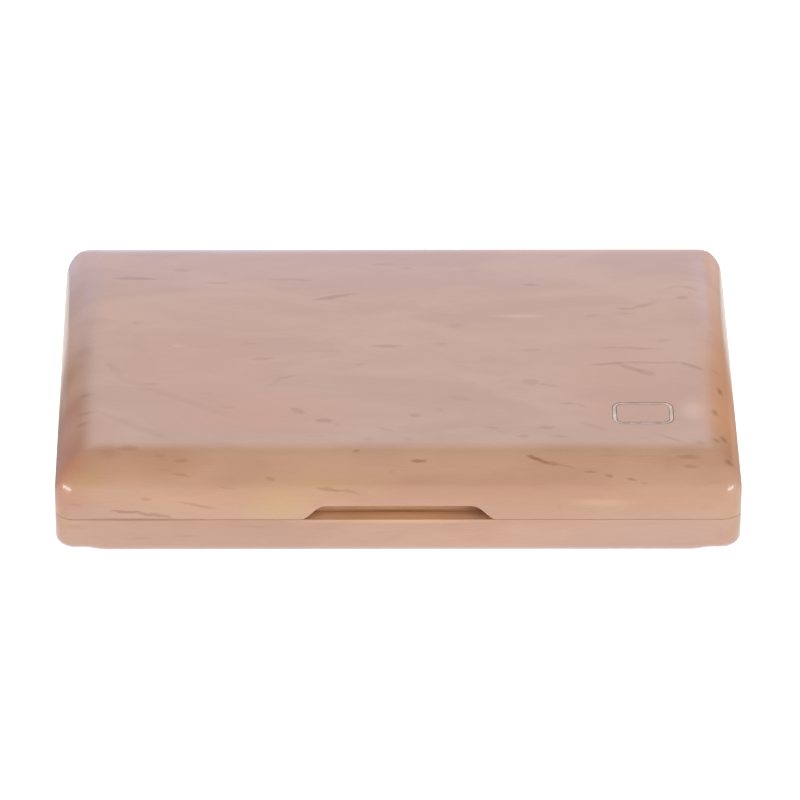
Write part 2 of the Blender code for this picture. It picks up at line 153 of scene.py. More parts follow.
def make_room():
    """The room: white where the camera sees it, brighter in front where it lights, dark in the lacquer."""
    world = bpy.data.worlds.new("room")
    scene.world = world
    world.use_nodes = True
    tree = world.node_tree
    toward = add_node(tree, "ShaderNodeTexCoord").outputs["Generated"]
    part = add_node(tree, "ShaderNodeSeparateXYZ", {"Vector": toward})
    turn, rise = part.outputs["Y"], part.outputs["Z"]
    low = maths(tree, "MULTIPLY", spread(tree, turn, -0.6, -0.9), spread(tree, rise, 0.25, 0.03))
    front = maths(tree, "MULTIPLY", spread(tree, turn, -0.05, -0.9), spread(tree, rise, 0.85, 0.25))
    level = maths(tree, "MULTIPLY_ADD", front, FRONT_EXTRA, ROOM_BRIGHTNESS)
    path = add_node(tree, "ShaderNodeLightPath")
    dark = add_node(tree, "ShaderNodeBackground", {"Color": DARK_COLOUR, "Strength": DARK_BRIGHTNESS})
    air = add_node(tree, "ShaderNodeBackground", {"Color": (0.9, 1, 1, 1), "Strength": 0.85})
    even = add_node(tree, "ShaderNodeBackground", {"Color": (1, 1, 1, 1), "Strength": level})
    seen = add_node(tree, "ShaderNodeBackground", {"Color": (1, 1, 1, 1), "Strength": 1.0})
    mirrored = add_node(tree, "ShaderNodeMixShader", {0: low, 1: dark.outputs[0], 2: air.outputs[0]})
    glossy = path.outputs["Is Glossy Ray"]
    lit = add_node(tree, "ShaderNodeMixShader", {0: glossy, 1: even.outputs[0], 2: mirrored.outputs[0]})
    shown = path.outputs["Is Camera Ray"]
    final = add_node(tree, "ShaderNodeMixShader", {0: shown, 1: lit.outputs[0], 2: seen.outputs[0]})
    tree.links.new(final.outputs[0], tree.nodes["World Output"].inputs["Surface"])


def make_table():
    """The table: a large white top with a faint glow. The lacquer mirrors it cool in front, dim beside."""
    top, tree, shader = new_material("table_top")
    shader.inputs["Roughness"].default_value = 0.9
    shader.inputs["Specular IOR Level"].default_value = 0.1
    place = add_node(tree, "ShaderNodeTexCoord").outputs["Object"]
    part = add_node(tree, "ShaderNodeSeparateXYZ", {"Vector": place})
    past = spread(tree, part.outputs["Y"], -0.035, -0.012)
    wedge = maths(tree, "MULTIPLY", maths(tree, "MAXIMUM", part.outputs["Y"], 0.0), -0.4)
    aside = maths(tree, "ADD", maths(tree, "ABSOLUTE", part.outputs["X"]), wedge)
    beside = maths(tree, "MULTIPLY", past, spread(tree, aside, 0.055, 0.065))
    path = add_node(tree, "ShaderNodeLightPath")
    glossy = path.outputs["Is Glossy Ray"]
    dim = maths(tree, "MULTIPLY", beside, glossy)
    near = maths(tree, "SUBTRACT", spread(tree, part.outputs["Y"], -0.064, -0.048), past)
    before = spread(tree, maths(tree, "ABSOLUTE", part.outputs["X"]), 0.070, 0.058)
    cool = maths(tree, "MULTIPLY", maths(tree, "MULTIPLY", near, before), glossy)
    warm = maths(tree, "MULTIPLY", dim, spread(tree, part.outputs["X"], 0.050, 0.070))
    share = maths(tree, "MULTIPLY_ADD", dim, TABLE_DIM - 1, 1.0)
    tone = add_node(tree, "ShaderNodeCombineColor", {"Red": share, "Green": share, "Blue": share}).outputs[0]
    tree.links.new(mix_colour(tree, 1.0, TABLE_COLOUR, tone, "MULTIPLY"), shader.inputs["Base Color"])
    tint = mix_colour(tree, cool, (1, 1, 1, 1), MIRROR_TINT)
    tree.links.new(mix_colour(tree, warm, tint, WARM_TINT), shader.inputs["Emission Color"])
    glow = maths(tree, "MULTIPLY_ADD", path.outputs["Is Camera Ray"], TABLE_SHOWN, TABLE_GLOW)
    glow = maths(tree, "MULTIPLY_ADD", cool, MIRROR_EXTRA, glow)
    glow = maths(tree, "MULTIPLY_ADD", warm, WARM_EXTRA, maths(tree, "MULTIPLY", share, glow))
    tree.links.new(glow, shader.inputs["Emission Strength"])
    mesh = bpy.data.meshes.new("table_top")
    far = TABLE_HALF
    mesh.from_pydata([(-far, -far, 0), (far, -far, 0), (far, far, 0), (-far, far, 0)], [], [(0, 1, 2, 3)])
    mesh.materials.append(top)
    table = bpy.data.objects.new("table_top", mesh)
    scene.collection.objects.link(table)


def mirrored_card(name, start, end, top, foot_colours, low_colour, high_colour, end_colour, strength,
                  fades=()):
    """A glowing upright card that only the lacquer and the metal mirror, faded along its axes as listed."""
    paper, tree, shader = new_material(name)
    place = add_node(tree, "ShaderNodeTexCoord").outputs["Object"]
    part = add_node(tree, "ShaderNodeSeparateXYZ", {"Vector": place})
    level = strength
    for axis, none, full in fades:
        level = maths(tree, "MULTIPLY", spread(tree, part.outputs[axis], none, full), level)
    colour = mix_colour(tree, spread(tree, part.outputs["X"], -0.040, 0.040), *foot_colours)
    colour = mix_colour(tree, spread(tree, part.outputs["Z"], 0.020, 0.034), colour, low_colour)
    colour = mix_colour(tree, spread(tree, part.outputs["Z"], 0.034, 0.048), colour, high_colour)
    colour = mix_colour(tree, spread(tree, part.outputs["X"], 0.070, 0.102), colour, end_colour)
    glow = add_node(tree, "ShaderNodeEmission", {"Color": colour, "Strength": level})
    tree.links.new(glow.outputs[0], tree.nodes["Material Output"].inputs["Surface"])
    mesh = bpy.data.meshes.new(name)
    mesh.from_pydata([(*start, 0), (*end, 0), (*end, top), (*start, top)], [], [(0, 1, 2, 3)])
    mesh.materials.append(paper)
    card = bpy.data.objects.new(name, mesh)
    scene.collection.objects.link(card)
    card.visible_camera = card.visible_diffuse = card.visible_shadow = card.visible_transmission = False


make_room()
make_table()
mirrored_card("back_card", (CARD_LEFT, CARD_Y), (CARD_RIGHT, CARD_Y), CARD_TOP, CARD_FEET, CARD_LOW, CARD_HIGH,
              CARD_END, CARD_BRIGHTNESS, CARD_FADES)
white = (1, 1, 1, 1)
mirrored_card("left_strip", *LEFT_STRIP, (white, white), white, white, white, STRIP_BRIGHTNESS)
mirrored_card("right_strip", *RIGHT_STRIP, (white, white), white, white, white, STRIP_BRIGHTNESS)
scene.view_settings.view_transform = "Standard"


# The two milled halves
# Each half is milled from one board of pale, close-grained wood, with a round-cornered tray and a
# flat rim, sanded round outside and lacquered. The lid has the wide round edge and the thumb notch.

case_low, case_high = (np.array(corner) for corner in (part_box("base_shell")[0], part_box("lid_shell")[1]))
SEAM_HALF = 0.000012
HINGE_Z = (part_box("base_shell")[1][2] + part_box("lid_shell")[0][2]) / 2
BASE_RIM, LID_RIM = HINGE_Z - SEAM_HALF, HINGE_Z + SEAM_HALF
CASE_TOP = case_high[2]
HALF_WIDTH = case_high[0]
HALF_DEPTH = case_high[1]
PLAN_RADIUS = 0.0035
LID_ROUND, LID_MITRE = 0.0072, 0.0012
BASE_ROUND = 0.0020
FRONT_WALL, BACK_WALL, SIDE_WALL = 0.0052, 0.0058, 0.0052
BASE_FLOOR, LID_CEILING = 0.0020, 0.0026
TRAY_RADIUS, TRAY_FILLET = 0.0040, 0.0005
SEAM_EDGE, TRAY_EDGE = 0.00009, 0.00030
FLAT_BORDER = 0.0003
NOTCH_MOUTH, NOTCH_TOP, NOTCH_HEIGHT, NOTCH_DEPTH = 0.0340, 0.0246, 0.00270, 0.00295
NOTCH_EASE = 1.3
HINGE_X, HINGE_LENGTH = 0.036, 0.018
HINGE_Y = HALF_DEPTH + 0.0002
MORTISE_DEPTH, MORTISE_INNER, BARREL_RECESS, MORTISE_SIDE = 0.0010, 0.0051, 0.00168, 0.0003
CUT_LEAN = 0.00002
EASE_START, EASE_END, EASE_HEIGHT = 0.051, 0.055, 0.00055
CORNER_STEPS, EDGE_STEPS, ROUND_STEPS = 16, 5, 24
COMMON_STRAIGHT = 0.050

ramp = np.linspace(NOTCH_TOP / 2, NOTCH_MOUTH / 2, 17)
mortise_ends = np.array([HINGE_X - HINGE_LENGTH / 2 - MORTISE_SIDE, HINGE_X + HINGE_LENGTH / 2 + MORTISE_SIDE])
right_x = np.concatenate([[0.004, 0.008], ramp, [0.021], mortise_ends - CUT_LEAN, mortise_ends + CUT_LEAN,
                          [0.032, 0.036, 0.040, COMMON_STRAIGHT]])
right_x = np.sort(right_x)
middle_x = np.concatenate([-right_x[::-1], [0.0], right_x])
end_share = np.linspace(1, 11, 11) / 13


def round_ring(half_x, half_y, radius, centre_y=0.0):
    """Stations round rectangles with round corners, one rectangle a row, anticlockwise from the left end.

    The front half runs along a quarter circle, a straight and a quarter circle. The back half is the
    front half mirrored and read backwards, so station i lies opposite station -1 - i.
    """
    half_x, half_y, radius = (np.atleast_1d(size)[:, None] for size in (half_x, half_y, radius))
    turn = np.linspace(0, np.pi / 2, CORNER_STEPS + 1)
    corner_x, corner_y = half_x - radius, half_y - radius
    end_x = COMMON_STRAIGHT + end_share * (corner_x - COMMON_STRAIGHT)
    arc_x, arc_y = radius * np.cos(turn), radius * np.sin(turn)
    inner = np.broadcast_to(middle_x, (len(half_x), len(middle_x)))
    front_x = np.hstack([-corner_x - arc_x, -end_x[:, ::-1], inner, end_x, corner_x + arc_x[:, ::-1]])
    straight_y = np.broadcast_to(-half_y, (len(half_x), end_x.shape[1] * 2 + inner.shape[1]))
    front_y = np.hstack([-corner_y - arc_y, straight_y, -corner_y - arc_y[:, ::-1]])
    x = np.hstack([front_x, front_x[:, ::-1]])
    y = np.hstack([front_y, -front_y[:, ::-1]]) + centre_y
    return x, y


def make_mesh(name, points, faces):
    """A mesh of the points and faces, with its doubles merged and its faces turned out."""
    mesh = bpy.data.meshes.new(name)
    mesh.from_pydata(points.reshape(-1, 3).tolist(), [], faces)
    shape = bmesh.new()
    shape.from_mesh(mesh)
    bmesh.ops.remove_doubles(shape, verts=shape.verts, dist=1e-6)
    bmesh.ops.recalc_face_normals(shape, faces=shape.faces)
    shape.to_mesh(mesh)
    shape.free()
    soften(mesh)
    return mesh


def soften(mesh, angle=35):
    """Smooth shading that breaks at edges sharper than the angle."""
    mesh.shade_smooth()
    mesh.set_sharp_from_angle(angle=math.radians(angle))


def skin(name, rings, strips=False):
    """A closed skin over rings of points, with a quad between neighbours on each two rings.

    The first and the last ring are closed by one face each, or by strips from front to back.
    """
    rows, count = rings.shape[:2]
    number = np.arange(rows * count).reshape(rows, count)
    after = np.roll(number, -1, axis=1)
    faces = np.stack([number[:-1], after[:-1], after[1:], number[1:]], axis=-1).reshape(-1, 4).tolist()
    for end in (number[0], number[-1]):
        if strips:
            front, back = end[: count // 2], end[::-1][: count // 2]
            faces += np.stack([front[:-1], front[1:], back[1:], back[:-1]], axis=-1).tolist()
        else:
            faces.append(end.tolist())
    return make_mesh(name, rings, faces)


def notch_cut(x, y):
    """How deep the thumb notch is cut into the lid's rim, by half a cosine along each ramp.

    The ramp's share, raised to a power, gives it a wide round above and a tight one at the mouth.
    """
    share = (np.abs(x) - NOTCH_TOP / 2) / ((NOTCH_MOUTH - NOTCH_TOP) / 2)
    height = NOTCH_HEIGHT * (1 + np.cos(np.pi * np.clip(share, 0, 1) ** NOTCH_EASE)) / 2
    return np.where(y < NOTCH_DEPTH - HALF_DEPTH, height, 0)


def mortise_cut(x, y):
    """How deep a rim is cut for a hinge: level under the leaf, and a round hollow beside the barrel."""
    hollow = np.sqrt(np.clip(BARREL_RECESS**2 - (HINGE_Y - y) ** 2, 0, None)) - SEAM_HALF
    inside = (np.abs(np.abs(x) - HINGE_X) < HINGE_LENGTH / 2 + MORTISE_SIDE) & (y > HALF_DEPTH - MORTISE_INNER)
    return np.where(inside, np.maximum(hollow, MORTISE_DEPTH), 0)


def milled_half(name, rim, up, height, tray_depth, edge_round, least_radius):
    """One half as a profile carried round its plan, from the tray's floor over the rim to the outside.

    A height is the way from the rim into the wood. The tray has a small hollow round at its floor.
    The rim runs straight from the tray's eased edge to the outer eased edge, less what is cut into it.
    The outside goes up the wall and over a quarter round, drawn in by R (1 - cos), to the flat face.
    """
    eased = np.linspace(0, np.pi / 2, EDGE_STEPS + 1)
    rounded = np.linspace(0, np.pi / 2, ROUND_STEPS + 1)
    front_flat = FRONT_WALL - TRAY_EDGE - SEAM_EDGE
    back_flat = BACK_WALL - TRAY_EDGE - SEAM_EDGE
    hollow = np.linspace(SEAM_EDGE, 0.001025, 7)[1:]
    lean = np.array([-CUT_LEAN, CUT_LEAN])
    from_edge = np.concatenate([(NOTCH_DEPTH + lean - SEAM_EDGE) / front_flat, (hollow - SEAM_EDGE) / back_flat,
                                (MORTISE_INNER + lean - SEAM_EDGE) / back_flat])
    rim_share = 1 - np.sort(from_edge)[::-1]

    grow = np.concatenate([[-TRAY_FILLET - FLAT_BORDER], TRAY_FILLET * (np.sin(eased) - 1),
                           TRAY_EDGE * (1 - np.cos(eased)), np.full(len(rim_share), TRAY_EDGE)])
    tray_height = np.concatenate([[tray_depth], tray_depth - TRAY_FILLET * (1 - np.cos(eased)),
                                  TRAY_EDGE * (1 - np.sin(eased)), np.zeros(len(rim_share))])
    inset = np.concatenate([SEAM_EDGE * (1 - np.cos(eased[::-1])), edge_round * (1 - np.cos(rounded)),
                            [edge_round + FLAT_BORDER]])
    out_height = np.concatenate([SEAM_EDGE * (1 - np.sin(eased[::-1])),
                                 height - edge_round * (1 - np.sin(rounded)), [height]])

    tray_half_y = HALF_DEPTH - (FRONT_WALL + BACK_WALL) / 2
    tray_x, tray_y = round_ring(HALF_WIDTH - SIDE_WALL + grow, tray_half_y + grow, TRAY_RADIUS + grow,
                                (FRONT_WALL - BACK_WALL) / 2)
    out_x, out_y = round_ring(HALF_WIDTH - inset, HALF_DEPTH - inset, np.maximum(PLAN_RADIUS - inset, least_radius))
    share = np.concatenate([np.zeros(len(grow) - len(rim_share)), rim_share])[:, None]
    x = np.vstack([tray_x * (1 - share) + out_x[0] * share, out_x])
    y = np.vstack([tray_y * (1 - share) + out_y[0] * share, out_y])
    into = np.concatenate([tray_height, out_height])[:, None] + np.zeros_like(x)

    first_rim = len(grow) - len(rim_share)
    last_rim = len(grow) + EDGE_STEPS + 1
    cut = mortise_cut(x, y) + (notch_cut(x, y) if up > 0 else 0)
    into[first_rim:last_rim] += cut[first_rim:last_rim]
    z = rim + up * into
    if up < 0:
        ease = np.clip((np.abs(x) - EASE_START) / (EASE_END - EASE_START), 0, 1)
        near_floor = np.clip(1 - z / (rim - SEAM_EDGE), 0, 1) ** 2
        z[last_rim:] += (EASE_HEIGHT * ease**2 * (3 - 2 * ease) * near_floor)[last_rim:]
    return skin(name, np.stack([x, y, z], axis=-1), strips=True)


def add_piece(name, mesh, material, body, slot, *nodes):
    """A piece that stands for some CAD nodes and rides on their body."""
    thing = bpy.data.objects.new(name, mesh)
    scene.collection.objects.link(thing)
    mesh.materials.append(material)
    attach(thing, body)
    if nodes:
        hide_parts(*nodes)
    return thing


def cut(thing, tool_mesh, operation="DIFFERENCE"):
    """One Boolean of a tool mesh on a piece, worked into the piece's mesh."""
    tool = bpy.data.objects.new("tool", tool_mesh)
    scene.collection.objects.link(tool)
    change = thing.modifiers.new("cut", "BOOLEAN")
    change.operation, change.solver, change.object = operation, "EXACT", tool
    worked = bpy.data.meshes.new_from_object(thing.evaluated_get(bpy.context.evaluated_depsgraph_get()))
    thing.modifiers.clear()
    name = thing.data.name
    old, thing.data = thing.data, worked
    bpy.data.objects.remove(tool)
    bpy.data.meshes.remove(tool_mesh)
    bpy.data.meshes.remove(old)
    worked.name = name
    soften(worked)


def turned(name, radius, height, centre, up=1, steps=48):
    """A round piece: rings of each radius about the Z axis, at each height above the centre."""
    turn = np.arange(steps) * 2 * np.pi / steps
    radius, height = np.array(radius)[:, None], np.array(height)[:, None]
    rings = np.stack([radius * np.cos(turn), radius * np.sin(turn), up * height + 0 * turn], axis=-1)
    return skin(name, rings + np.array(centre))


def stretched_noise(tree, place, scale, detail=3.0, roughness=0.55, distortion=0.0, shift=(0, 0, 0)):
    """Noise with so many waves a metre along each axis."""
    mapped = add_node(tree, "ShaderNodeMapping", {"Vector": place, "Scale": scale, "Location": shift})
    noise = add_node(tree, "ShaderNodeTexNoise", {"Vector": mapped.outputs[0], "Scale": 1.0, "Detail": detail,
                                                  "Roughness": roughness, "Distortion": distortion})
    return noise.outputs["Fac"]


def make_grain_group():
    """Close-grained wood that runs along X: broad clouds, long streaks, fine fibre and sparse short flecks."""
    group = bpy.data.node_groups.new("close_grain", "ShaderNodeTree")
    group.interface.new_socket(name="Place", in_out="INPUT", socket_type="NodeSocketVector")
    for name in ("Cloud", "Streak", "Fibre", "Fleck"):
        group.interface.new_socket(name=name, in_out="OUTPUT", socket_type="NodeSocketFloat")
    start = group.nodes.new("NodeGroupInput")
    end = group.nodes.new("NodeGroupOutput")
    place = start.outputs["Place"]
    cloud = stretched_noise(group, place, (34, 90, 90), detail=3, distortion=0.7)
    streak = stretched_noise(group, place, (80, 280, 280), detail=3, distortion=0.5, shift=(3, 5, 7))
    fibre = stretched_noise(group, place, (260, 7500, 7500), detail=2, shift=(1, 2, 3))
    mapped = add_node(group, "ShaderNodeMapping", {"Vector": place, "Scale": (70, 260, 260)})
    cells = add_node(group, "ShaderNodeTexVoronoi", {"Vector": mapped.outputs[0], "Scale": 1.0, "Randomness": 1.0})
    red = add_node(group, "ShaderNodeSeparateColor", {"Color": cells.outputs["Color"]})
    near = spread(group, cells.outputs["Distance"], 0.20, 0.03)
    chosen = spread(group, red.outputs["Red"], 0.70, 0.85)
    fleck = maths(group, "MULTIPLY", near, chosen)
    for name, value in (("Cloud", cloud), ("Streak", streak), ("Fibre", fibre), ("Fleck", fleck)):
        group.links.new(value, end.inputs[name])
    return group


grain = make_grain_group()

# The marks that show on the lid: middle as x and the way from the lid's middle line over the front,
# length, width, slant in degrees (up to the right) and strength, all in millimetres but the last two.
LID_MARKS = [
    (-47.2, -25, 7.1, 1.1, -2, 0.5), (-38.6, -28.2, 3.1, 1.1, 3, 0.3), (-32.2, -23.2, 4.5, 0.7, -2, 0.2),
    (-19, -24.5, 7.8, 0.9, -3, 0.3), (-11.1, -18, 7.6, 1.1, 17, 0.5), (1.9, -28.8, 2, 0.8, 0, 0.2),
    (24.4, -22.5, 2.5, 1.1, 0, 0.3), (35.2, -11, 2.6, 1.1, 16, 0.2), (41.3, -13.5, 2.9, 0.9, 0, 0.4),
    (44.6, -14.8, 5, 1.3, 31, 0.3), (50, -21.6, 3.1, 0.7, 25, 0.1), (52.8, -21.6, 3.5, 0.7, -22, 0.2),
    (51.8, -17.7, 2, 1.1, 5, 0.4), (47.8, -1.9, 2.2, 1.5, 14, 0.2), (41.8, 0.8, 9.3, 0.9, -3, 0.3),
    (37.2, 6.5, 5.7, 0.9, 6, 0.4), (45.2, 6, 11, 0.8, 0, 0.35), (52.4, 7.3, 4.5, 1.1, -32, 0.5),
    (41.2, 7.8, 4.6, 1.3, -33, 0.4), (44.1, 9.5, 3.7, 1.6, -26, 0.4), (23.5, 12.9, 2.8, 2.1, -4, 0.3),
    (26.8, 14.1, 4.1, 0.7, -18, 0.3), (10.6, -7.3, 2.9, 1.6, 0, 0.2), (7.7, -0.7, 2.7, 1.1, -4, 0.2),
    (11.1, 5.8, 2.7, 0.7, 0, 0.1), (16.2, 4.9, 3.4, 2.2, -19, 0.1), (-1.8, 0, 5.5, 1.1, 0, 0.4),
    (-13.3, 1.8, 6.8, 0.7, 1, 0.2), (-6.7, 6.7, 2.1, 0.9, 5, 0.2), (-9.7, 8.1, 2.7, 0.7, 8, 0.1),
    (-26.3, -0.8, 3.2, 0.9, 6, 0.2), (-33.5, 0.3, 4.8, 0.7, 0, 0.1), (-23.9, 4.5, 3.7, 1.1, 5, 0.3),
    (-19.7, 11.2, 3.4, 0.9, 21, 0.2), (-22, 13.6, 3.8, 0.7, 49, 0.1), (-17.5, 23.2, 3, 1.4, -36, 0.4),
    (-13, 26.5, 2.9, 1.6, -17, 0.5), (-10.8, 27.9, 1.8, 0.7, -29, 0.2), (10.8, 18.6, 4.1, 1.1, -20, 0.2),
    (7.4, 22.8, 1.7, 0.9, -32, 0.2), (3.1, 24.7, 1.9, 1.1, 5, 0.3), (-2.1, 29.7, 3.3, 0.9, -32, 0.2),
    (-5.1, 33.1, 1.8, 0.9, -6, 0.2), (1.7, 32.9, 1.8, 1.2, -17, 0.2), (16.4, 29, 2, 0.9, -10, 0.3),
    (18.3, 30.6, 2.9, 0.7, -46, 0.1), (21.7, 32.2, 2.3, 1, -9, 0.3), (26.1, 29, 2.8, 1.2, 4, 0.3),
    (28.4, 32.1, 3.3, 0.9, -3, 0.3), (29.9, 20.5, 2.6, 0.9, -4, 0.3), (32.2, 21.3, 2.2, 0.7, -29, 0.2),
    (34.4, 28.6, 4.9, 1.1, -28, 0.2), (45.5, 31.7, 2.4, 0.9, -17, 0.1), (47.9, 33.1, 3.6, 0.9, -36, 0.3),
    (52.7, 34.4, 1.5, 1.1, -19, 0.3), (-46.4, -8.5, 1.4, 0.7, 0, 0.2), (-34, 17, 2.2, 0.9, -10, 0.1),
    (24.1, 1.4, 3, 1.1, 0, 0.2), (-50.8, 7.5, 3, 1.1, -77, 0.1), (-49.8, 8.8, 6.5, 1.4, -70, 0.1),
    (-45.8, 13.6, 6.7, 1.8, -32, 0.1), (-40.5, 17.3, 6.3, 1.8, -38, 0.1),
    (-33.7, 22.1, 10.2, 1.8, -34, 0.1), (-43.8, 30.2, 8, 1.7, -37, 0.1),
    (-49.9, 25.5, 7.5, 1.4, -38, 0.1), (-47, 35.8, 3.4, 1.4, 0, 0.3), (-41.7, 37.5, 2.1, 0.5, 0, 0.2),
    (-38, 38.3, 2.6, 0.6, 0, 0.3), (-40.8, 40.2, 1.9, 0.5, -3, 0.1), (-38, 41, 2.7, 0.5, -11, 0.3),
    (-22.4, 41.8, 1.7, 0.6, -6, 0.3), (-29.8, 43.4, 3, 0.5, -4, 0.2), (-44.1, 45.4, 1.9, 0.6, -4, 0.3),
    (-35, 46.7, 7.2, 0.6, -10, 0.3), (-47.7, 48, 4.5, 0.5, -2, 0.6), (-42.7, 48.7, 6.2, 0.6, -10, 0.5),
    (-56.3, 46.6, 2.3, 0.5, -12, 0.2), (-7.5, 36.5, 1, 0.7, 0, 0.4), (3.4, 38.6, 2.6, 0.6, 0, 0.6),
    (-1.1, 40.5, 1.6, 0.5, 0, 0.1), (-12.4, 43.6, 3.7, 0.5, -6, 0.4), (-9, 44, 4.6, 0.6, -8, 0.3),
    (23.5, 38, 2.5, 0.6, -17, 0.6), (24.8, 38.5, 2.5, 0.8, -15, 0.6), (26.7, 39, 2.1, 0.6, -12, 0.4),
    (29.2, 39.6, 3.4, 0.4, -14, 0.2), (33.4, 40.6, 1.8, 0.5, -7, 0.4), (36.7, 41.3, 1.3, 0.6, -5, 0.4),
    (40.6, 41.9, 1.6, 0.5, -5, 0.4), (42.7, 42.6, 1.4, 0.4, -9, 0.2), (50.5, 37.8, 4, 0.8, -3, 0.3),
    (50.8, 39.6, 2.4, 0.7, -4, 0.3), (40.3, 37.6, 11.5, 0.4, 0, 0.1), (28.1, 47, 0.8, 0.4, -49, 0.2),
]
MM = 0.001
MARK_REACH = 0.65


def over_front(x, way):
    """The point a way over the lid from its middle line: along the top, down the round, down the wall.

    It comes with the lean of the surface there, which is 0 on the top and a quarter turn on the wall.
    """
    flat = HALF_DEPTH - LID_ROUND
    lean = min(max((way - flat) / LID_ROUND, 0), math.pi / 2)
    below = max(way - flat - LID_ROUND * math.pi / 2, 0)
    y = -min(way, flat) - LID_ROUND * math.sin(lean)
    z = CASE_TOP - LID_ROUND * (1 - math.cos(lean)) - below
    return Vector((x, y, z)), lean


def mark_mask(tree, place, marks):
    """The sum of all marks: each is a ball squeezed to its length and width, turned into the surface."""
    total = 0.0
    for x, way, length, width, slant, strength in marks:
        centre, lean = over_front(x * MM, way * MM)
        turn = Matrix.Rotation(lean, 3, "X") @ Matrix.Rotation(math.radians(slant), 3, "Z")
        mapped = add_node(tree, "ShaderNodeMapping", {
            "Vector": place, "Location": centre, "Rotation": turn.to_euler(),
            "Scale": (length * MM * MARK_REACH, width * MM * MARK_REACH, 1.2 * MM)}, vector_type="TEXTURE")
        ball = add_node(tree, "ShaderNodeTexGradient", {"Vector": mapped.outputs[0]}, gradient_type="SPHERICAL")
        full = maths(tree, "MULTIPLY", ball.outputs["Fac"], 2.2, clamp=True)
        total = maths(tree, "MULTIPLY_ADD", full, strength, total)
    return total


WOOD_PALE = (0.610, 0.335, 0.208, 1)
WOOD_DEEP = (0.555, 0.292, 0.176, 1)
WOOD_STREAK = (0.500, 0.250, 0.145, 1)
WOOD_FLECK = (0.330, 0.125, 0.030, 1)


def soft_patch(tree, place, centre, size):
    """A mask that fades from one at the centre to nothing at the edge of an egg of this size, in mm."""
    mapped = add_node(tree, "ShaderNodeMapping", {
        "Vector": place, "Location": [part * MM for part in centre], "Scale": [part * MM for part in size]},
        vector_type="TEXTURE")
    ball = add_node(tree, "ShaderNodeTexGradient", {"Vector": mapped.outputs[0]}, gradient_type="SPHERICAL")
    return spread(tree, ball.outputs["Fac"], 0.0, 1.0)


def lacquered_wood(name, shift, marks, patches):
    """Pale wood under clear lacquer: tone by clouds and streaks, soft stains and patches of painted light and shade,
    and darker flecks.
    """
    material, tree, shader = new_material(name)
    place = add_node(tree, "ShaderNodeTexCoord").outputs["Object"]
    moved = add_node(tree, "ShaderNodeMapping", {"Vector": place, "Location": shift}).outputs[0]
    figure = add_node(tree, "ShaderNodeGroup", {}, node_tree=grain)
    tree.links.new(moved, figure.inputs["Place"])
    cloud = spread(tree, figure.outputs["Cloud"], 0.34, 0.66)
    streak = spread(tree, figure.outputs["Streak"], 0.50, 0.72, 0.0, 0.16)
    colour = mix_colour(tree, cloud, WOOD_PALE, WOOD_DEEP)
    colour = mix_colour(tree, streak, colour, WOOD_STREAK)
    # some patches are stains in the wood, others are painted light and shade
    for centre, size, strength, stain_and_light in patches:
        amount = maths(tree, "MULTIPLY", soft_patch(tree, place, centre, size), strength)
        colour = mix_colour(tree, amount, colour, stain_and_light)
    fibre = spread(tree, figure.outputs["Fibre"], 0.2, 0.8, 0.965, 1.025)
    tint = add_node(tree, "ShaderNodeCombineColor", {"Red": fibre, "Green": fibre, "Blue": fibre}).outputs[0]
    colour = mix_colour(tree, 1.0, colour, tint, "MULTIPLY")
    fleck = maths(tree, "MULTIPLY", figure.outputs["Fleck"], 0.22)
    if marks:
        wobble = add_node(tree, "ShaderNodeTexNoise", {"Vector": place, "Scale": 420.0, "Detail": 2.0})
        off = add_node(tree, "ShaderNodeVectorMath", {0: wobble.outputs["Color"], 1: (0.5, 0.5, 0.5)},
                       operation="SUBTRACT")
        bent = add_node(tree, "ShaderNodeVectorMath", {0: off.outputs[0], 1: (0.0010, 0.0010, 0.0010), 2: place},
                        operation="MULTIPLY_ADD")
        placed = mark_mask(tree, bent.outputs[0], marks)
        fleck = maths(tree, "MAXIMUM", fleck, maths(tree, "MINIMUM", placed, 0.75))
    colour = mix_colour(tree, fleck, colour, WOOD_FLECK)
    tree.links.new(colour, shader.inputs["Base Color"])
    shader.inputs["Roughness"].default_value = 0.45
    shader.inputs["Coat Weight"].default_value = 1.0
    shader.inputs["Coat Roughness"].default_value = 0.16
    shader.inputs["Coat IOR"].default_value = 1.5
    relief = stretched_noise(tree, moved, (90, 900, 900), detail=3)
    bump = add_node(tree, "ShaderNodeBump", {"Height": relief, "Strength": 0.06, "Distance": 0.00012})
    tree.links.new(bump.outputs[0], shader.inputs["Normal"])
    return material


# Soft stains under the lacquer, and patches of painted light and shade: middle and half size in millimetres, strength
# and colour.
GOLDEN, RUDDY, ORANGE = (0.60, 0.355, 0.160, 1), (0.54, 0.203, 0.118, 1), (0.70, 0.320, 0.155, 1)
# the second colour here gives pale streaks in the wood, and also painted light and a painted highlight over the front
BLUSH, PALE, UMBER = (0.61, 0.270, 0.150, 1), (0.76, 0.460, 0.320, 1), (0.34, 0.130, 0.050, 1)
# the last colour here is painted shade on the left of the case
TOFFEE, ROSY, SHADE_TAN = (0.52, 0.255, 0.125, 1), (0.58, 0.190, 0.125, 1), (0.46, 0.262, 0.176, 1)
# the first colour here is painted bounce light in the thumb notch; the second is painted shade in the notch and darkens
# the seam
NOTCH_BOUNCE_LIGHT, SHADE, FAIR = (0.86, 0.530, 0.270, 1), (0.24, 0.085, 0.022, 1), (0.58, 0.355, 0.260, 1)
# the first colour here is painted bounce light on the notch's wall
OAT, CREAM, AMBER = (0.76, 0.440, 0.205, 1), (0.80, 0.500, 0.370, 1), (0.92, 0.430, 0.190, 1)
# both colours here are painted bounce light on the notch's ledge
STRAW, HONEY = (0.90, 0.560, 0.295, 1), (0.98, 0.700, 0.420, 1)
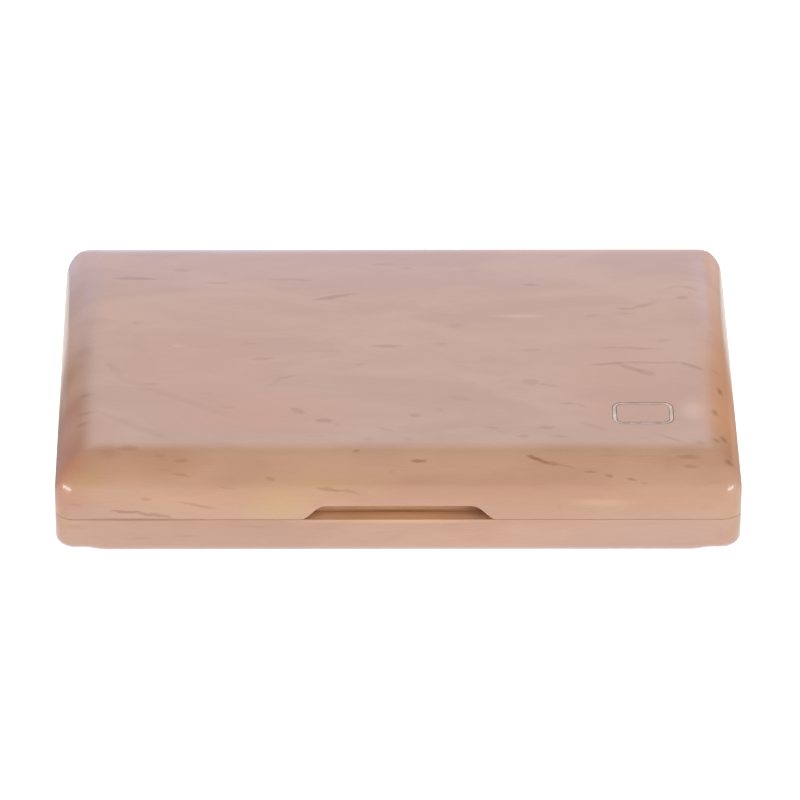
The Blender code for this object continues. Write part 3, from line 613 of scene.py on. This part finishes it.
LID_STAINS_AND_LIGHT = [
    # on the top, with a pale streak and a pale round spot, and painted shade towards the back left
    ((-24, -24, 18.4), (24, 13, 6), 0.7, BLUSH), ((-34, -8, 18.4), (22, 22, 6), 0.4, BLUSH),
    ((40, -14, 18.4), (15, 26, 6), 0.6, BLUSH), ((-44, 27, 18.4), (24, 19, 6), 0.15, SHADE_TAN),
    ((22.1, 11, 18.4), (6.5, 1.1, 1), 0.5, PALE), ((-54, 22, 18.4), (7, 9, 4), 0.35, SHADE_TAN),
    ((51.9, -22.9, 18.4), (3.4, 5.5, 1), 0.6, PALE), ((-39, 0.1, 18.4), (1.9, 0.8, 1), 0.3, PALE),
    # down the left round
    # the second patch below is painted shade at the round's front corner
    ((-59, -31, 13), (8.5, 29, 12), 1, RUDDY), ((-57.5, -37.5, 15.8), (4.5, 6, 4), 0.7, RUDDY),
    ((-52.5, -31, 18.2), (7.5, 9, 4), 0.2, RUDDY), ((-59.6, -33, 13), (3, 9, 5), 0.7, ROSY),
    ((-55.2, -17, 18), (2.8, 1, 1.2), 0.8, UMBER), ((-55, -23.5, 18), (2.5, 0.9, 1.2), 0.6, UMBER),
    ((-55.4, -27, 18), (2.2, 1, 1.2), 0.6, UMBER), ((-55.7, -1, 18), (2.4, 3, 1.5), 0.4, UMBER),
    ((-58.5, 6, 15.5), (6, 17, 7), 0.55, CREAM), ((-57, -13, 16.5), (6, 8, 5), 0.45, CREAM),
    # painted shade along the top edge of the round, in the first patch below
    ((-54.8, -2, 17.9), (3.4, 46, 3), 0.42, SHADE_TAN), ((-56.8, -26, 17), (4, 9, 4), 0.25, CREAM),
    # down the right round
    ((59.5, -11, 14), (9.5, 33, 10), 1, ORANGE), ((58.5, -24, 15.5), (7, 17, 7), 0.45, AMBER),
    ((57.1, -14, 17), (1, 1.8, 1.2), 0.8, UMBER),
    ((55.8, -22.8, 17.8), (1, 1.6, 1.2), 0.6, UMBER), ((57, -31, 17), (1.6, 1.3, 1.2), 0.8, UMBER),
    ((55.6, -32.6, 17.8), (1.3, 0.9, 1.2), 0.6, UMBER), ((57.6, -38, 16.5), (1.6, 1, 1.2), 0.7, UMBER),
    # over the front, and round the thumb notch
    ((-20.5, -41, 9.5), (9.5, 8, 5), 0.9, GOLDEN), ((-15, -40, 14), (17, 7, 5), 0.5, GOLDEN),
    ((-54.5, -40.5, 14), (5.5, 5, 3.5), 0.7, GOLDEN), ((-44, -38.5, 16), (14, 5, 4), 0.12, ORANGE),
    ((-40.5, -38, 17), (10, 5, 4), 0.55, TOFFEE), ((-50.5, -36.3, 17.7), (3.5, 2.5, 2), 0.25, UMBER),
    # painted shade over the left end of the front, then painted light along the middle of the front round
    ((-54, -41, 8), (20, 4, 8), 0.4, SHADE_TAN), ((0, -37.5, 16.5), (60, 5, 4), 0.3, PALE),
    # a painted highlight on the right of the front wall, in the first patch below
    ((35, -41.2, 10.3), (8, 1, 1.2), 0.35, PALE), ((59, -33, 15), (5, 8, 5), 0.6, ORANGE),
    ((54, -41, 9.4), (2.2, 3, 0.9), 0.3, RUDDY), ((-46, -41.2, 7.1), (15, 0.8, 0.34), 0.45, SHADE),
    # painted bounce light on the notch's back wall, then painted shadow in its right end
    ((0, -38.3, 8), (20, 0.6, 4), 0.8, OAT), ((14.5, -38.9, 8.5), (5, 2.4, 4), 0.9, SHADE),
    # painted shade along the crease under the notch's lip
    ((0, -38.3, 7), (19, 0.5, 0.4), 0.6, SHADE),
    # painted bounce light at the left end of the notch's wall, in the first patch below
    ((-12, -38.4, 8.2), (5, 1.2, 2.5), 0.2, NOTCH_BOUNCE_LIGHT), ((-54, -39, 15.5), (9, 4, 4), 0.4, TOFFEE),
]
BASE_STAINS_AND_LIGHT = [
    # painted bounce light on the notch's ledge, brightest at its ends, then painted shade at its right end and along
    # its crease
    ((-12.5, -39.9, 6.9), (7, 1.8, 1), 0.8, HONEY), ((12.5, -40.2, 6.9), (5, 1.2, 1), 0.5, HONEY),
    ((0, -39.9, 6.9), (26, 2.8, 1.2), 1, STRAW), ((15, -39.4, 6.9), (4, 2, 1), 0.15, SHADE),
    ((0, -38.3, 6.8), (19, 0.4, 0.3), 0.55, SHADE), ((-46, -41.2, 6.8), (15, 0.8, 0.26), 0.45, SHADE),
    ((-25.3, -41.2, 5.5), (5, 1, 0.4), 0.25, UMBER), ((-37.4, -41.2, 3.6), (3.6, 1, 0.4), 0.3, UMBER),
    ((-45.3, -41.2, 3.1), (4, 1, 0.4), 0.3, UMBER), ((57, -41, 3.6), (2.6, 3, 2), 0.5, RUDDY),
    # painted shade over the left of the front, in the first patch below
    ((-40, -41, 4), (70, 4, 8), 0.35, SHADE_TAN), ((0, -40.6, 0.4), (85, 3, 1.8), 0.7, FAIR),
    ((45, -41, 4), (35, 4, 8), 0.5, FAIR),
]
lid_wood = lacquered_wood("lid_wood", (0.0, 0.0, 0.0), LID_MARKS, LID_STAINS_AND_LIGHT)
base_wood = lacquered_wood("base_wood", (0.37, 0.21, 0.13), [], BASE_STAINS_AND_LIGHT)

base_half = add_piece("lower_half", milled_half("lower_half", BASE_RIM, -1, BASE_RIM - case_low[2],
                                                BASE_RIM - BASE_FLOOR, BASE_ROUND, PLAN_RADIUS - BASE_ROUND),
                      base_wood, "base", "case_wood", "base_shell")
lid_half = add_piece("upper_half", milled_half("upper_half", LID_RIM, 1, CASE_TOP - LID_RIM,
                                               CASE_TOP - LID_RIM - LID_CEILING, LID_ROUND, LID_MITRE),
                     lid_wood, "lid", "case_wood", "lid_shell")


# Outline inlay
# A plain line of pale metal wire, bent to a small rounded oblong and pressed into a groove in the
# lid's right front corner, its crown level with the wood.

INLAY_X, INLAY_Y = 0.0431, -0.0240
INLAY_HALF_X, INLAY_HALF_Y, INLAY_RADIUS = 0.0050, 0.0035, 0.0016
INLAY_WIRE, INLAY_CROWN, INLAY_DEPTH = 0.00034, 0.00010, 0.0006
INLAY_GAP = 0.00004


def round_loop(half_x, half_y, radius, steps=16):
    """Points round an oblong and the way out at each: four quarter circles, joined by straights."""
    turn = (np.arange(4)[:, None] * np.pi / 2 + np.linspace(0, np.pi / 2, steps + 1)).ravel()
    side_x = np.repeat([1, -1, -1, 1], steps + 1) * (half_x - radius)
    side_y = np.repeat([1, 1, -1, -1], steps + 1) * (half_y - radius)
    out = np.stack([np.cos(turn), np.sin(turn)], axis=-1)
    return np.stack([side_x, side_y], axis=-1) + radius * out, out


def loop_bar(name, across, height):
    """A closed section carried round the oblong: each of its points lies across the line, at its height."""
    line, out = round_loop(INLAY_HALF_X, INLAY_HALF_Y, INLAY_RADIUS)
    flat = line[:, None, :] + np.array(across)[None, :, None] * out[:, None, :] + np.array([INLAY_X, INLAY_Y])
    points = np.concatenate([flat, np.broadcast_to(np.array(height)[None, :, None], flat.shape[:2] + (1,))], axis=-1)
    rows, count = points.shape[:2]
    number = np.arange(rows * count).reshape(rows, count)
    next_row, after = np.roll(number, -1, axis=0), np.roll(number, -1, axis=1)
    faces = np.stack([number, after, np.roll(next_row, -1, axis=1), next_row], axis=-1).reshape(-1, 4).tolist()
    return make_mesh(name, points, faces)


def pale_metal():
    """Drawn nickel silver: pale and warm, with fine scratches and a few duller clouds."""
    material, tree, shader = new_material("pale_wire")
    place = add_node(tree, "ShaderNodeTexCoord").outputs["Object"]
    dull = spread(tree, stretched_noise(tree, place, (900, 900, 900), detail=3), 0.35, 0.7, 0.26, 0.44)
    tone = stretched_noise(tree, place, (500, 500, 500), detail=2, shift=(2, 1, 4))
    colour = mix_colour(tree, spread(tree, tone, 0.35, 0.7), (0.66, 0.55, 0.43, 1), (0.52, 0.41, 0.31, 1))
    tree.links.new(colour, shader.inputs["Base Color"])
    tree.links.new(dull, shader.inputs["Roughness"])
    shader.inputs["Metallic"].default_value = 1.0
    return material


groove_wide = INLAY_WIRE + INLAY_GAP
cut(lid_half, loop_bar("groove", [-groove_wide, groove_wide, groove_wide, -groove_wide],
                       [CASE_TOP + INLAY_DEPTH, CASE_TOP + INLAY_DEPTH, CASE_TOP - INLAY_DEPTH,
                        CASE_TOP - INLAY_DEPTH]))
crown = np.linspace(0, np.pi, 9)
add_piece("outline_inlay", loop_bar("outline_inlay",
                                    np.concatenate([INLAY_WIRE * np.cos(crown), [-INLAY_WIRE, INLAY_WIRE]]),
                                    np.concatenate([CASE_TOP - INLAY_CROWN * (1 - np.sin(crown)),
                                                    [CASE_TOP - INLAY_DEPTH + INLAY_GAP] * 2])),
          pale_metal(), "lid", "magnet")


# Magnets
# Four nickel-plated discs, glued into drilled pockets in the front corners of both rims, flush.

MAGNET_RADIUS, MAGNET_HEIGHT, MAGNET_EASE = 0.0020, 0.0020, 0.00022
POCKET_GAP = 0.00006


def nickel():
    """Bright plating with faint fine streaks across each disc, and small dull spots."""
    material, tree, shader = new_material("nickel_plate")
    place = add_node(tree, "ShaderNodeTexCoord").outputs["Object"]
    spots = spread(tree, stretched_noise(tree, place, (1400, 1400, 1400), detail=3), 0.45, 0.75, 0.16, 0.34)
    tree.links.new(spots, shader.inputs["Roughness"])
    tone = mix_colour(tree, stretched_noise(tree, place, (600, 600, 600)), (0.72, 0.71, 0.69, 1), (0.62, 0.61, 0.60, 1))
    tree.links.new(tone, shader.inputs["Base Color"])
    scratch = stretched_noise(tree, place, (300, 6000, 6000), detail=2)
    bump = add_node(tree, "ShaderNodeBump", {"Height": scratch, "Strength": 0.12, "Distance": 0.00004})
    tree.links.new(bump.outputs[0], shader.inputs["Normal"])
    shader.inputs["Metallic"].default_value = 1.0
    return material


def fit_magnet(body, side, rim, up, shell, material):
    """A disc flush with the rim at the middle of its CAD node, and the pocket that it sits in."""
    node = f"{body}_magnet_{side}"
    low, high = (np.array(corner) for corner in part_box(node))
    centre = ((low[0] + high[0]) / 2, (low[1] + high[1]) / 2, rim)
    eased = np.linspace(0, np.pi / 2, 5)
    pocket = MAGNET_RADIUS + POCKET_GAP
    cut(shell, turned("pocket", [pocket, pocket], [-0.001, MAGNET_HEIGHT + POCKET_GAP], centre, up))
    radius = np.append(MAGNET_RADIUS - MAGNET_EASE * (1 - np.sin(eased)), MAGNET_RADIUS)
    height = np.append(MAGNET_EASE * (1 - np.cos(eased)), MAGNET_HEIGHT)
    add_piece(f"{body}_disc_{side}", turned("disc", radius, height, centre, up), material, body, "magnet", node)


plate_metal = nickel()
for side in ("left", "right"):
    fit_magnet("base", side, BASE_RIM, -1, base_half, plate_metal)
    fit_magnet("lid", side, LID_RIM, 1, lid_half, plate_metal)


# Felt
# A sheet of thin pressed wool felt, dark wine red, laid on the floor of each tray under the glass.

def pressed_felt():
    """Matted wool: short tangled fibres in the colour and the height, with a soft sheen."""
    material, tree, shader = new_material("pressed_felt")
    place = add_node(tree, "ShaderNodeTexCoord").outputs["Object"]
    tangle = stretched_noise(tree, place, (5200, 5200, 5200), detail=5, roughness=0.7, distortion=1.6)
    wide = stretched_noise(tree, place, (260, 260, 260), detail=3)
    colour = mix_colour(tree, spread(tree, tangle, 0.3, 0.7), (0.110, 0.009, 0.016, 1), (0.300, 0.036, 0.052, 1))
    colour = mix_colour(tree, spread(tree, wide, 0.4, 0.7, 0.0, 0.35), colour, (0.140, 0.022, 0.030, 1))
    tree.links.new(colour, shader.inputs["Base Color"])
    shader.inputs["Roughness"].default_value = 0.95
    shader.inputs["Sheen Weight"].default_value = 0.35
    shader.inputs["Sheen Roughness"].default_value = 0.4
    shader.inputs["Sheen Tint"].default_value = (0.80, 0.20, 0.22, 1)
    bump = add_node(tree, "ShaderNodeBump", {"Height": tangle, "Strength": 0.5, "Distance": 0.0002})
    tree.links.new(bump.outputs[0], shader.inputs["Normal"])
    return material


def flat_sheet(name, node, corner, edge_x, edge_z):
    """A plate in a CAD node's box: its outline is drawn in by each edge share, at each height share."""
    low, high = (np.array(corner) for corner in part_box(node))
    edge_x, edge_z = np.array(edge_x), np.array(edge_z)
    x, y = round_ring(high[0] - edge_x, (high[1] - low[1]) / 2 - edge_x, corner - edge_x, (low[1] + high[1]) / 2)
    z = np.broadcast_to((low[2] + (high[2] - low[2]) * edge_z)[:, None], x.shape)
    return skin(name, np.stack([x, y, z], axis=-1), strips=True)


FELT_CORNER, FELT_ROUND = 0.0030, 0.00022
felt_look = pressed_felt()
around = np.linspace(-np.pi / 2, np.pi / 2, 9)
for body in ("base", "lid"):
    sheet = add_piece(f"{body}_felt_sheet",
                      flat_sheet("felt_sheet", f"{body}_felt", FELT_CORNER, FELT_ROUND * (1 - np.cos(around)),
                                 (1 + np.sin(around)) / 2),
                      felt_look, body, "felt", f"{body}_felt")


# Glass
# A plate of float glass in each tray, with ground edges, on which the reeds lie flat.

GLASS_CORNER, GLASS_BEVEL = 0.0030, 0.0002


def float_glass():
    """Clear glass with a faint green cast."""
    material, tree, shader = new_material("float_glass")
    shader.inputs["Base Color"].default_value = (0.93, 0.98, 0.96, 1)
    shader.inputs["Transmission Weight"].default_value = 1.0
    shader.inputs["IOR"].default_value = 1.52
    place = add_node(tree, "ShaderNodeTexCoord").outputs["Object"]
    smear = stretched_noise(tree, place, (45, 90, 90), detail=4)
    tree.links.new(spread(tree, smear, 0.5, 0.8, 0.01, 0.035), shader.inputs["Roughness"])
    return material


def ground_glass():
    """The plate's ground edge: frosted and greener, as light runs through the sheet to it."""
    material, tree, shader = new_material("ground_glass")
    place = add_node(tree, "ShaderNodeTexCoord").outputs["Object"]
    grit = stretched_noise(tree, place, (9000, 9000, 9000), detail=2)
    colour = mix_colour(tree, grit, (0.50, 0.72, 0.64, 1), (0.72, 0.88, 0.82, 1))
    tree.links.new(colour, shader.inputs["Base Color"])
    shader.inputs["Roughness"].default_value = 0.5
    shader.inputs["Transmission Weight"].default_value = 0.6
    bump = add_node(tree, "ShaderNodeBump", {"Height": grit, "Strength": 0.4, "Distance": 0.00003})
    tree.links.new(bump.outputs[0], shader.inputs["Normal"])
    return material


clear, ground = float_glass(), ground_glass()
for body in ("base", "lid"):
    low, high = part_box(f"{body}_glass")
    bevel = GLASS_BEVEL / (high[2] - low[2])
    plate = add_piece(f"{body}_glass_plate",
                      flat_sheet("glass_plate", f"{body}_glass", GLASS_CORNER, [GLASS_BEVEL, 0, 0, GLASS_BEVEL],
                                 [0, bevel, 1 - bevel, 1]),
                      clear, body, "glass", f"{body}_glass")
    plate.data.materials.append(ground)
    level = np.zeros(len(plate.data.polygons) * 3)
    plate.data.polygons.foreach_get("normal", level)
    edge = np.abs(level.reshape(-1, 3)[:, 2]) < 0.9
    plate.data.polygons.foreach_set("material_index", edge.astype(np.int32))


# Elastic bands
# Two black ribbons of woven elastic across each plate, their ends turned down round its edge and
# glued under it. They hold the reeds by pulling them onto the glass.

BAND_THICK, BAND_BEND = 0.0005, 0.0003


def woven_elastic():
    """Ribs across the ribbon over the rubber cores that run along it, and tighter woven edges.

    The pattern reads the ribbon's own map: the way along it and across it, in metres.
    """
    material, tree, shader = new_material("woven_elastic")
    along = add_node(tree, "ShaderNodeUVMap", uv_map="ribbon")
    part = add_node(tree, "ShaderNodeSeparateXYZ", {"Vector": along.outputs["UV"]})
    core = maths(tree, "SINE", maths(tree, "MULTIPLY", part.outputs["Y"], 2 * math.pi / 0.00057))
    flip = maths(tree, "MULTIPLY", maths(tree, "SIGN", core), math.pi / 2)
    rib = maths(tree, "SINE", maths(tree, "MULTIPLY_ADD", part.outputs["X"], 2 * math.pi / 0.00050, flip))
    rise = maths(tree, "MULTIPLY_ADD", maths(tree, "ABSOLUTE", core), 0.55, maths(tree, "MULTIPLY", rib, 0.45))
    thread = spread(tree, rise, -0.4, 1.0)
    colour = mix_colour(tree, thread, (0.006, 0.006, 0.007, 1), (0.034, 0.034, 0.038, 1))
    tree.links.new(colour, shader.inputs["Base Color"])
    shader.inputs["Roughness"].default_value = 0.62
    shader.inputs["Sheen Weight"].default_value = 0.25
    bump = add_node(tree, "ShaderNodeBump", {"Height": thread, "Strength": 0.8, "Distance": 0.00012})
    tree.links.new(bump.outputs[0], shader.inputs["Normal"])
    return material


def ribbon(node, up):
    """A ribbon of a flat oval section, carried up one side, over the plate and down the other.

    The line is straight, a quarter circle, straight, a quarter circle and straight. Each ring is the
    section set square to it: its width lies along Y, and its thickness along the line's own normal.
    """
    low, high = (np.array(corner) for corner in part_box(node))
    middle = BAND_THICK / 2
    bend = BAND_BEND + middle
    reach = high[0] - middle - bend
    top = (high[2] - middle) if up > 0 else (low[2] + middle)
    foot = low[2] if up > 0 else high[2]
    turn = np.linspace(0, np.pi / 2, 9)
    across = np.linspace(-reach, reach, 81)
    x = np.concatenate([[-reach - bend], -reach - bend * np.cos(turn), across[1:-1], reach + bend * np.sin(turn),
                        [reach + bend]])
    z = np.concatenate([[foot], top - up * bend * (1 - np.sin(turn)), np.full(len(across) - 2, top),
                        top - up * bend * (1 - np.cos(turn)), [foot]])
    lean = np.concatenate([[0], turn, np.full(len(across) - 2, np.pi / 2), np.pi / 2 + turn, [np.pi]])
    way = np.concatenate([[0], np.cumsum(np.hypot(np.diff(x), np.diff(z)))])
    half = (high[1] - low[1]) / 2
    side = np.linspace(-np.pi / 2, np.pi / 2, 7)
    wide = np.concatenate([half - middle + middle * np.cos(side), middle - half - middle * np.cos(side)])
    thick = middle * np.concatenate([np.sin(side), -np.sin(side)])
    points = np.stack([x[:, None] - np.cos(lean)[:, None] * thick,
                       (low[1] + high[1]) / 2 + np.broadcast_to(wide, (len(x), len(wide))),
                       z[:, None] + up * np.sin(lean)[:, None] * thick], axis=-1)
    mesh = skin("ribbon", points)
    return mesh, way


woven = woven_elastic()
for body, up in (("base", 1), ("lid", -1)):
    for row in ("front", "rear"):
        node = f"{body}_band_{row}"
        mesh, way = ribbon(node, up)
        band = add_piece(f"{body}_ribbon_{row}", mesh, woven, body, "elastic", node)
        places = np.zeros(len(mesh.vertices) * 3)
        mesh.vertices.foreach_get("co", places)
        places = places.reshape(-1, 3)
        corner = np.zeros(len(mesh.loops), dtype=np.int32)
        mesh.loops.foreach_get("vertex_index", corner)
        mapped = np.stack([places[:, 0] + np.abs(places[:, 2]), places[:, 1]], axis=-1)[corner]
        mesh.uv_layers.new(name="ribbon").data.foreach_set("uv", mapped.ravel())


# Dividers
# Five strips of the same wood in each tray, sanded and oiled, glued to the glass between the lanes
# and notched below where the bands pass under them.

STRIP_ROUND, SLOT_SIDE, SLOT_TOP = 0.0005, 0.0003, 0.00065


def oiled_wood():
    """The same wood with oil instead of lacquer: a little darker and duller."""
    material, tree, shader = new_material("oiled_strip")
    place = add_node(tree, "ShaderNodeTexCoord").outputs["Object"]
    turned_grain = add_node(tree, "ShaderNodeMapping", {"Vector": place, "Rotation": (0, 0, math.pi / 2)}).outputs[0]
    figure = add_node(tree, "ShaderNodeGroup", {}, node_tree=grain)
    tree.links.new(turned_grain, figure.inputs["Place"])
    colour = mix_colour(tree, spread(tree, figure.outputs["Streak"], 0.35, 0.7), (0.60, 0.36, 0.21, 1),
                        (0.44, 0.23, 0.12, 1))
    colour = mix_colour(tree, maths(tree, "MULTIPLY", figure.outputs["Fleck"], 0.5), colour, WOOD_FLECK)
    tree.links.new(colour, shader.inputs["Base Color"])
    tree.links.new(spread(tree, figure.outputs["Fibre"], 0.2, 0.8, 0.42, 0.58), shader.inputs["Roughness"])
    bump = add_node(tree, "ShaderNodeBump", {"Height": figure.outputs["Fibre"], "Strength": 0.15,
                                             "Distance": 0.00004})
    tree.links.new(bump.outputs[0], shader.inputs["Normal"])
    return material


def strip(node, up, bands):
    """A flat-footed bar with a rounded crown, carried along Y, its foot raised over each band."""
    low, high = (np.array(corner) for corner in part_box(node))
    centre, half = (low[0] + high[0]) / 2, (high[0] - low[0]) / 2
    foot = low[2] if up > 0 else high[2]
    tall = high[2] - low[2]
    turn = np.linspace(0, np.pi / 2, 7)
    edge = half - STRIP_ROUND
    wide = np.concatenate([[half], edge + STRIP_ROUND * np.cos(turn), -edge - STRIP_ROUND * np.sin(turn), [-half]])
    rise = np.concatenate([[0], tall - STRIP_ROUND * (1 - np.sin(turn)), tall - STRIP_ROUND * (1 - np.cos(turn)), [0]])
    ends = [low[1], low[1] + STRIP_ROUND / 2, high[1] - STRIP_ROUND / 2, high[1]]
    slots = np.array([[front - SLOT_SIDE, back + SLOT_SIDE] for front, back in bands])
    y = np.sort(np.concatenate([ends, (slots + CUT_LEAN).ravel(), (slots - CUT_LEAN).ravel()]))
    inside = ((y[:, None] > slots[:, 0]) & (y[:, None] < slots[:, 1])).any(axis=1)
    lift = np.where(inside, SLOT_TOP, 0)[:, None]
    height = np.maximum(rise[None, :], lift)
    drop = np.where((y == low[1]) | (y == high[1]), STRIP_ROUND / 3, 0)[:, None]
    height = np.where(rise[None, :] > tall / 2, height - drop, height)
    points = np.stack([np.broadcast_to(centre + wide, height.shape), np.broadcast_to(y[:, None], height.shape),
                       foot + up * height], axis=-1)
    return skin("strip", points)


oiled = oiled_wood()
for body, up in (("base", 1), ("lid", -1)):
    bands = [(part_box(f"{body}_band_{row}")[0][1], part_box(f"{body}_band_{row}")[1][1]) for row in ("front", "rear")]
    for number in range(1, 6):
        node = f"{body}_divider_{number}"
        add_piece(f"{body}_strip_{number}", strip(node, up, bands), oiled, body, "divider_wood", node)


# Hinges
# Two brass butt hinges let into the rims of the back wall. Each leaf is a flat plate whose knuckles
# are rolled round the pin, three on the base and two on the lid, and held by two slotted screws.

LEAF_THICK, LEAF_NEAR, KNUCKLE_GAP = 0.0007, 0.00015, 0.00015
PIN_RADIUS, BORE_RADIUS, BARREL_RADIUS, BARREL_CLEAR = 0.0006, 0.00068, 0.001379, 0.00168
LEAF_REACH, LEAF_CORNER = 0.0050, 0.0008
KNUCKLES = 5
SCREW_HEAD, SCREW_RIM, SCREW_SHANK = 0.0010, 0.0001, 0.0005
SCREW_LONG, SCREW_TIP = 0.0045, 0.0012
SCREW_SLOT_HALF, SCREW_SLOT_DEEP = 0.00015, 0.00025
SCREW_GAP = 0.00005
HINGE_EASE = 0.00006


def brass():
    """Polished brass with fine lines of the last polish along the hinge and a breath of tarnish."""
    material, tree, shader = new_material("polished_brass")
    place = add_node(tree, "ShaderNodeTexCoord").outputs["Object"]
    tarnish = spread(tree, stretched_noise(tree, place, (420, 420, 420), detail=4), 0.45, 0.75)
    colour = mix_colour(tree, tarnish, (0.86, 0.62, 0.27, 1), (0.62, 0.40, 0.16, 1))
    tree.links.new(colour, shader.inputs["Base Color"])
    tree.links.new(maths(tree, "MULTIPLY_ADD", tarnish, 0.16, 0.18), shader.inputs["Roughness"])
    shader.inputs["Metallic"].default_value = 1.0
    lines = stretched_noise(tree, place, (160, 9000, 9000), detail=2)
    bump = add_node(tree, "ShaderNodeBump", {"Height": lines, "Strength": 0.10, "Distance": 0.00003})
    tree.links.new(bump.outputs[0], shader.inputs["Normal"])
    return material


def bar_along_x(name, y, z, start, end):
    """A section in Y and Z carried from start to end along X."""
    y, z = np.array(y), np.array(z)
    return skin(name, np.stack([np.stack([np.full(len(y), x), y, z], axis=-1) for x in (start, end)]))


def knuckle(name, up, start, end):
    """A strap that leaves the leaf and rolls right round the pin: two straights and an arc."""
    first = math.pi - math.asin(LEAF_NEAR / BARREL_RADIUS)
    last = math.pi - math.asin((LEAF_NEAR + LEAF_THICK) / BARREL_RADIUS) + 2 * math.pi
    turn = np.linspace(first, last, 57)
    strap = -BARREL_CLEAR - LEAF_THICK
    y = HINGE_Y + np.concatenate([[strap], BARREL_RADIUS * np.cos(turn), [strap]])
    z = HINGE_Z + up * np.concatenate([[LEAF_NEAR], BARREL_RADIUS * np.sin(turn), [LEAF_NEAR + LEAF_THICK]])
    return bar_along_x(name, y, z, start, end)


def leaf_plate(name, centre_x, up):
    """The flat of a leaf: an oblong with its two inner corners rounded, as thick as the strap."""
    turn = np.linspace(0, np.pi / 2, 9)
    half, inner, outer = HINGE_LENGTH / 2, HINGE_Y - LEAF_REACH, HINGE_Y - BARREL_CLEAR
    side = half - LEAF_CORNER
    x = np.concatenate([[half], side + LEAF_CORNER * np.cos(turn), -side - LEAF_CORNER * np.sin(turn), [-half]])
    y = np.concatenate([[outer], inner + LEAF_CORNER * (1 - np.sin(turn)),
                        inner + LEAF_CORNER * (1 - np.cos(turn)), [outer]])
    faces = [HINGE_Z + up * LEAF_NEAR, HINGE_Z + up * (LEAF_NEAR + LEAF_THICK)]
    return skin(name, np.stack([np.stack([centre_x + x, y, np.full(len(x), z)], axis=-1) for z in faces]))


def along_x(name, radius, centre_x, half):
    """A round bar on the hinge's axis, from its radius and its half length at each ring."""
    turn = np.arange(48) * 2 * np.pi / 48
    radius, half = np.array(radius)[:, None], np.array(half)[:, None]
    rings = np.stack([centre_x + half + 0 * turn, HINGE_Y + radius * np.cos(turn), HINGE_Z + radius * np.sin(turn)],
                     axis=-1)
    return skin(name, rings)


def ease_edges(thing):
    """A small round on every sharp edge."""
    ease = thing.modifiers.new("ease", "BEVEL")
    ease.width, ease.segments, ease.limit_method, ease.angle_limit = HINGE_EASE, 2, "ANGLE", math.radians(40)
    ease.harden_normals = False


def make_screw(hinge, body, number, x, up, material):
    """A countersunk screw, its head flush with the leaf, with a slot sawn across it."""
    spot = (x, HINGE_Y - (BARREL_CLEAR + LEAF_REACH) / 2, HINGE_Z + up * LEAF_NEAR)
    cone = SCREW_HEAD - SCREW_SHANK + SCREW_RIM
    shape = turned("screw", [SCREW_HEAD - SCREW_RIM / 2, SCREW_HEAD, SCREW_HEAD, SCREW_SHANK, SCREW_SHANK, SCREW_RIM],
                   [0, SCREW_RIM / 2, SCREW_RIM, cone, SCREW_LONG - SCREW_TIP, SCREW_LONG], spot, up)
    name = f"hinge_{hinge}_{body}_screw_{number}"
    screw = add_piece(f"{name}_fine", shape, material, body, "brass", name)
    deep, wide = SCREW_SLOT_DEEP * up, SCREW_SLOT_HALF
    y = spot[1] + np.array([-wide, wide, wide, -wide])
    z = spot[2] + np.array([-deep, -deep, deep, deep])
    cut(screw, bar_along_x("slot", y, z, x - 2 * SCREW_HEAD, x + 2 * SCREW_HEAD))
    return spot


def make_leaf(hinge, body, centre_x, up, numbers, material):
    """A leaf: its flat, its knuckles joined on, the pin's bore and the two countersinks."""
    node = f"hinge_{hinge}_{body}_leaf"
    leaf = add_piece(f"{node}_fine", leaf_plate("leaf", centre_x, up), material, body, "brass", node)
    pitch = (HINGE_LENGTH + KNUCKLE_GAP) / KNUCKLES
    for place in numbers:
        start = centre_x - HINGE_LENGTH / 2 + place * pitch
        cut(leaf, knuckle("knuckle", up, start, start + pitch - KNUCKLE_GAP), "UNION")
    cut(leaf, along_x("bore", [BORE_RADIUS, BORE_RADIUS], centre_x, [-HINGE_LENGTH, HINGE_LENGTH]))
    for number, x in enumerate((centre_x - 0.3 * HINGE_LENGTH, centre_x + 0.3 * HINGE_LENGTH), start=1):
        spot = make_screw(hinge, body, number, x, up, material)
        sink = SCREW_HEAD + SCREW_GAP
        cut(leaf, turned("sink", [sink, sink, SCREW_SHANK + SCREW_GAP, SCREW_SHANK + SCREW_GAP],
                         [-SCREW_RIM, SCREW_RIM, SCREW_RIM + SCREW_HEAD - SCREW_SHANK, 2 * LEAF_THICK], spot, up))
    ease_edges(leaf)


polished = brass()
for hinge, centre_x in (("left", -HINGE_X), ("right", HINGE_X)):
    make_leaf(hinge, "base", centre_x, -1, (0, 2, 4), polished)
    make_leaf(hinge, "lid", centre_x, 1, (1, 3), polished)
    dome = np.linspace(0, np.pi / 2, 5)
    long = HINGE_LENGTH / 2
    radius = np.concatenate([0.5 + 0.5 * np.sin(dome), 0.5 + 0.5 * np.cos(dome)]) * PIN_RADIUS
    reach = np.concatenate([-long - 0.00025 * np.cos(dome), long + 0.00025 * np.sin(dome)])
    add_piece(f"hinge_{hinge}_pin_fine", along_x("pin", radius, centre_x, reach), polished, "base", "brass",
              f"hinge_{hinge}_pin")
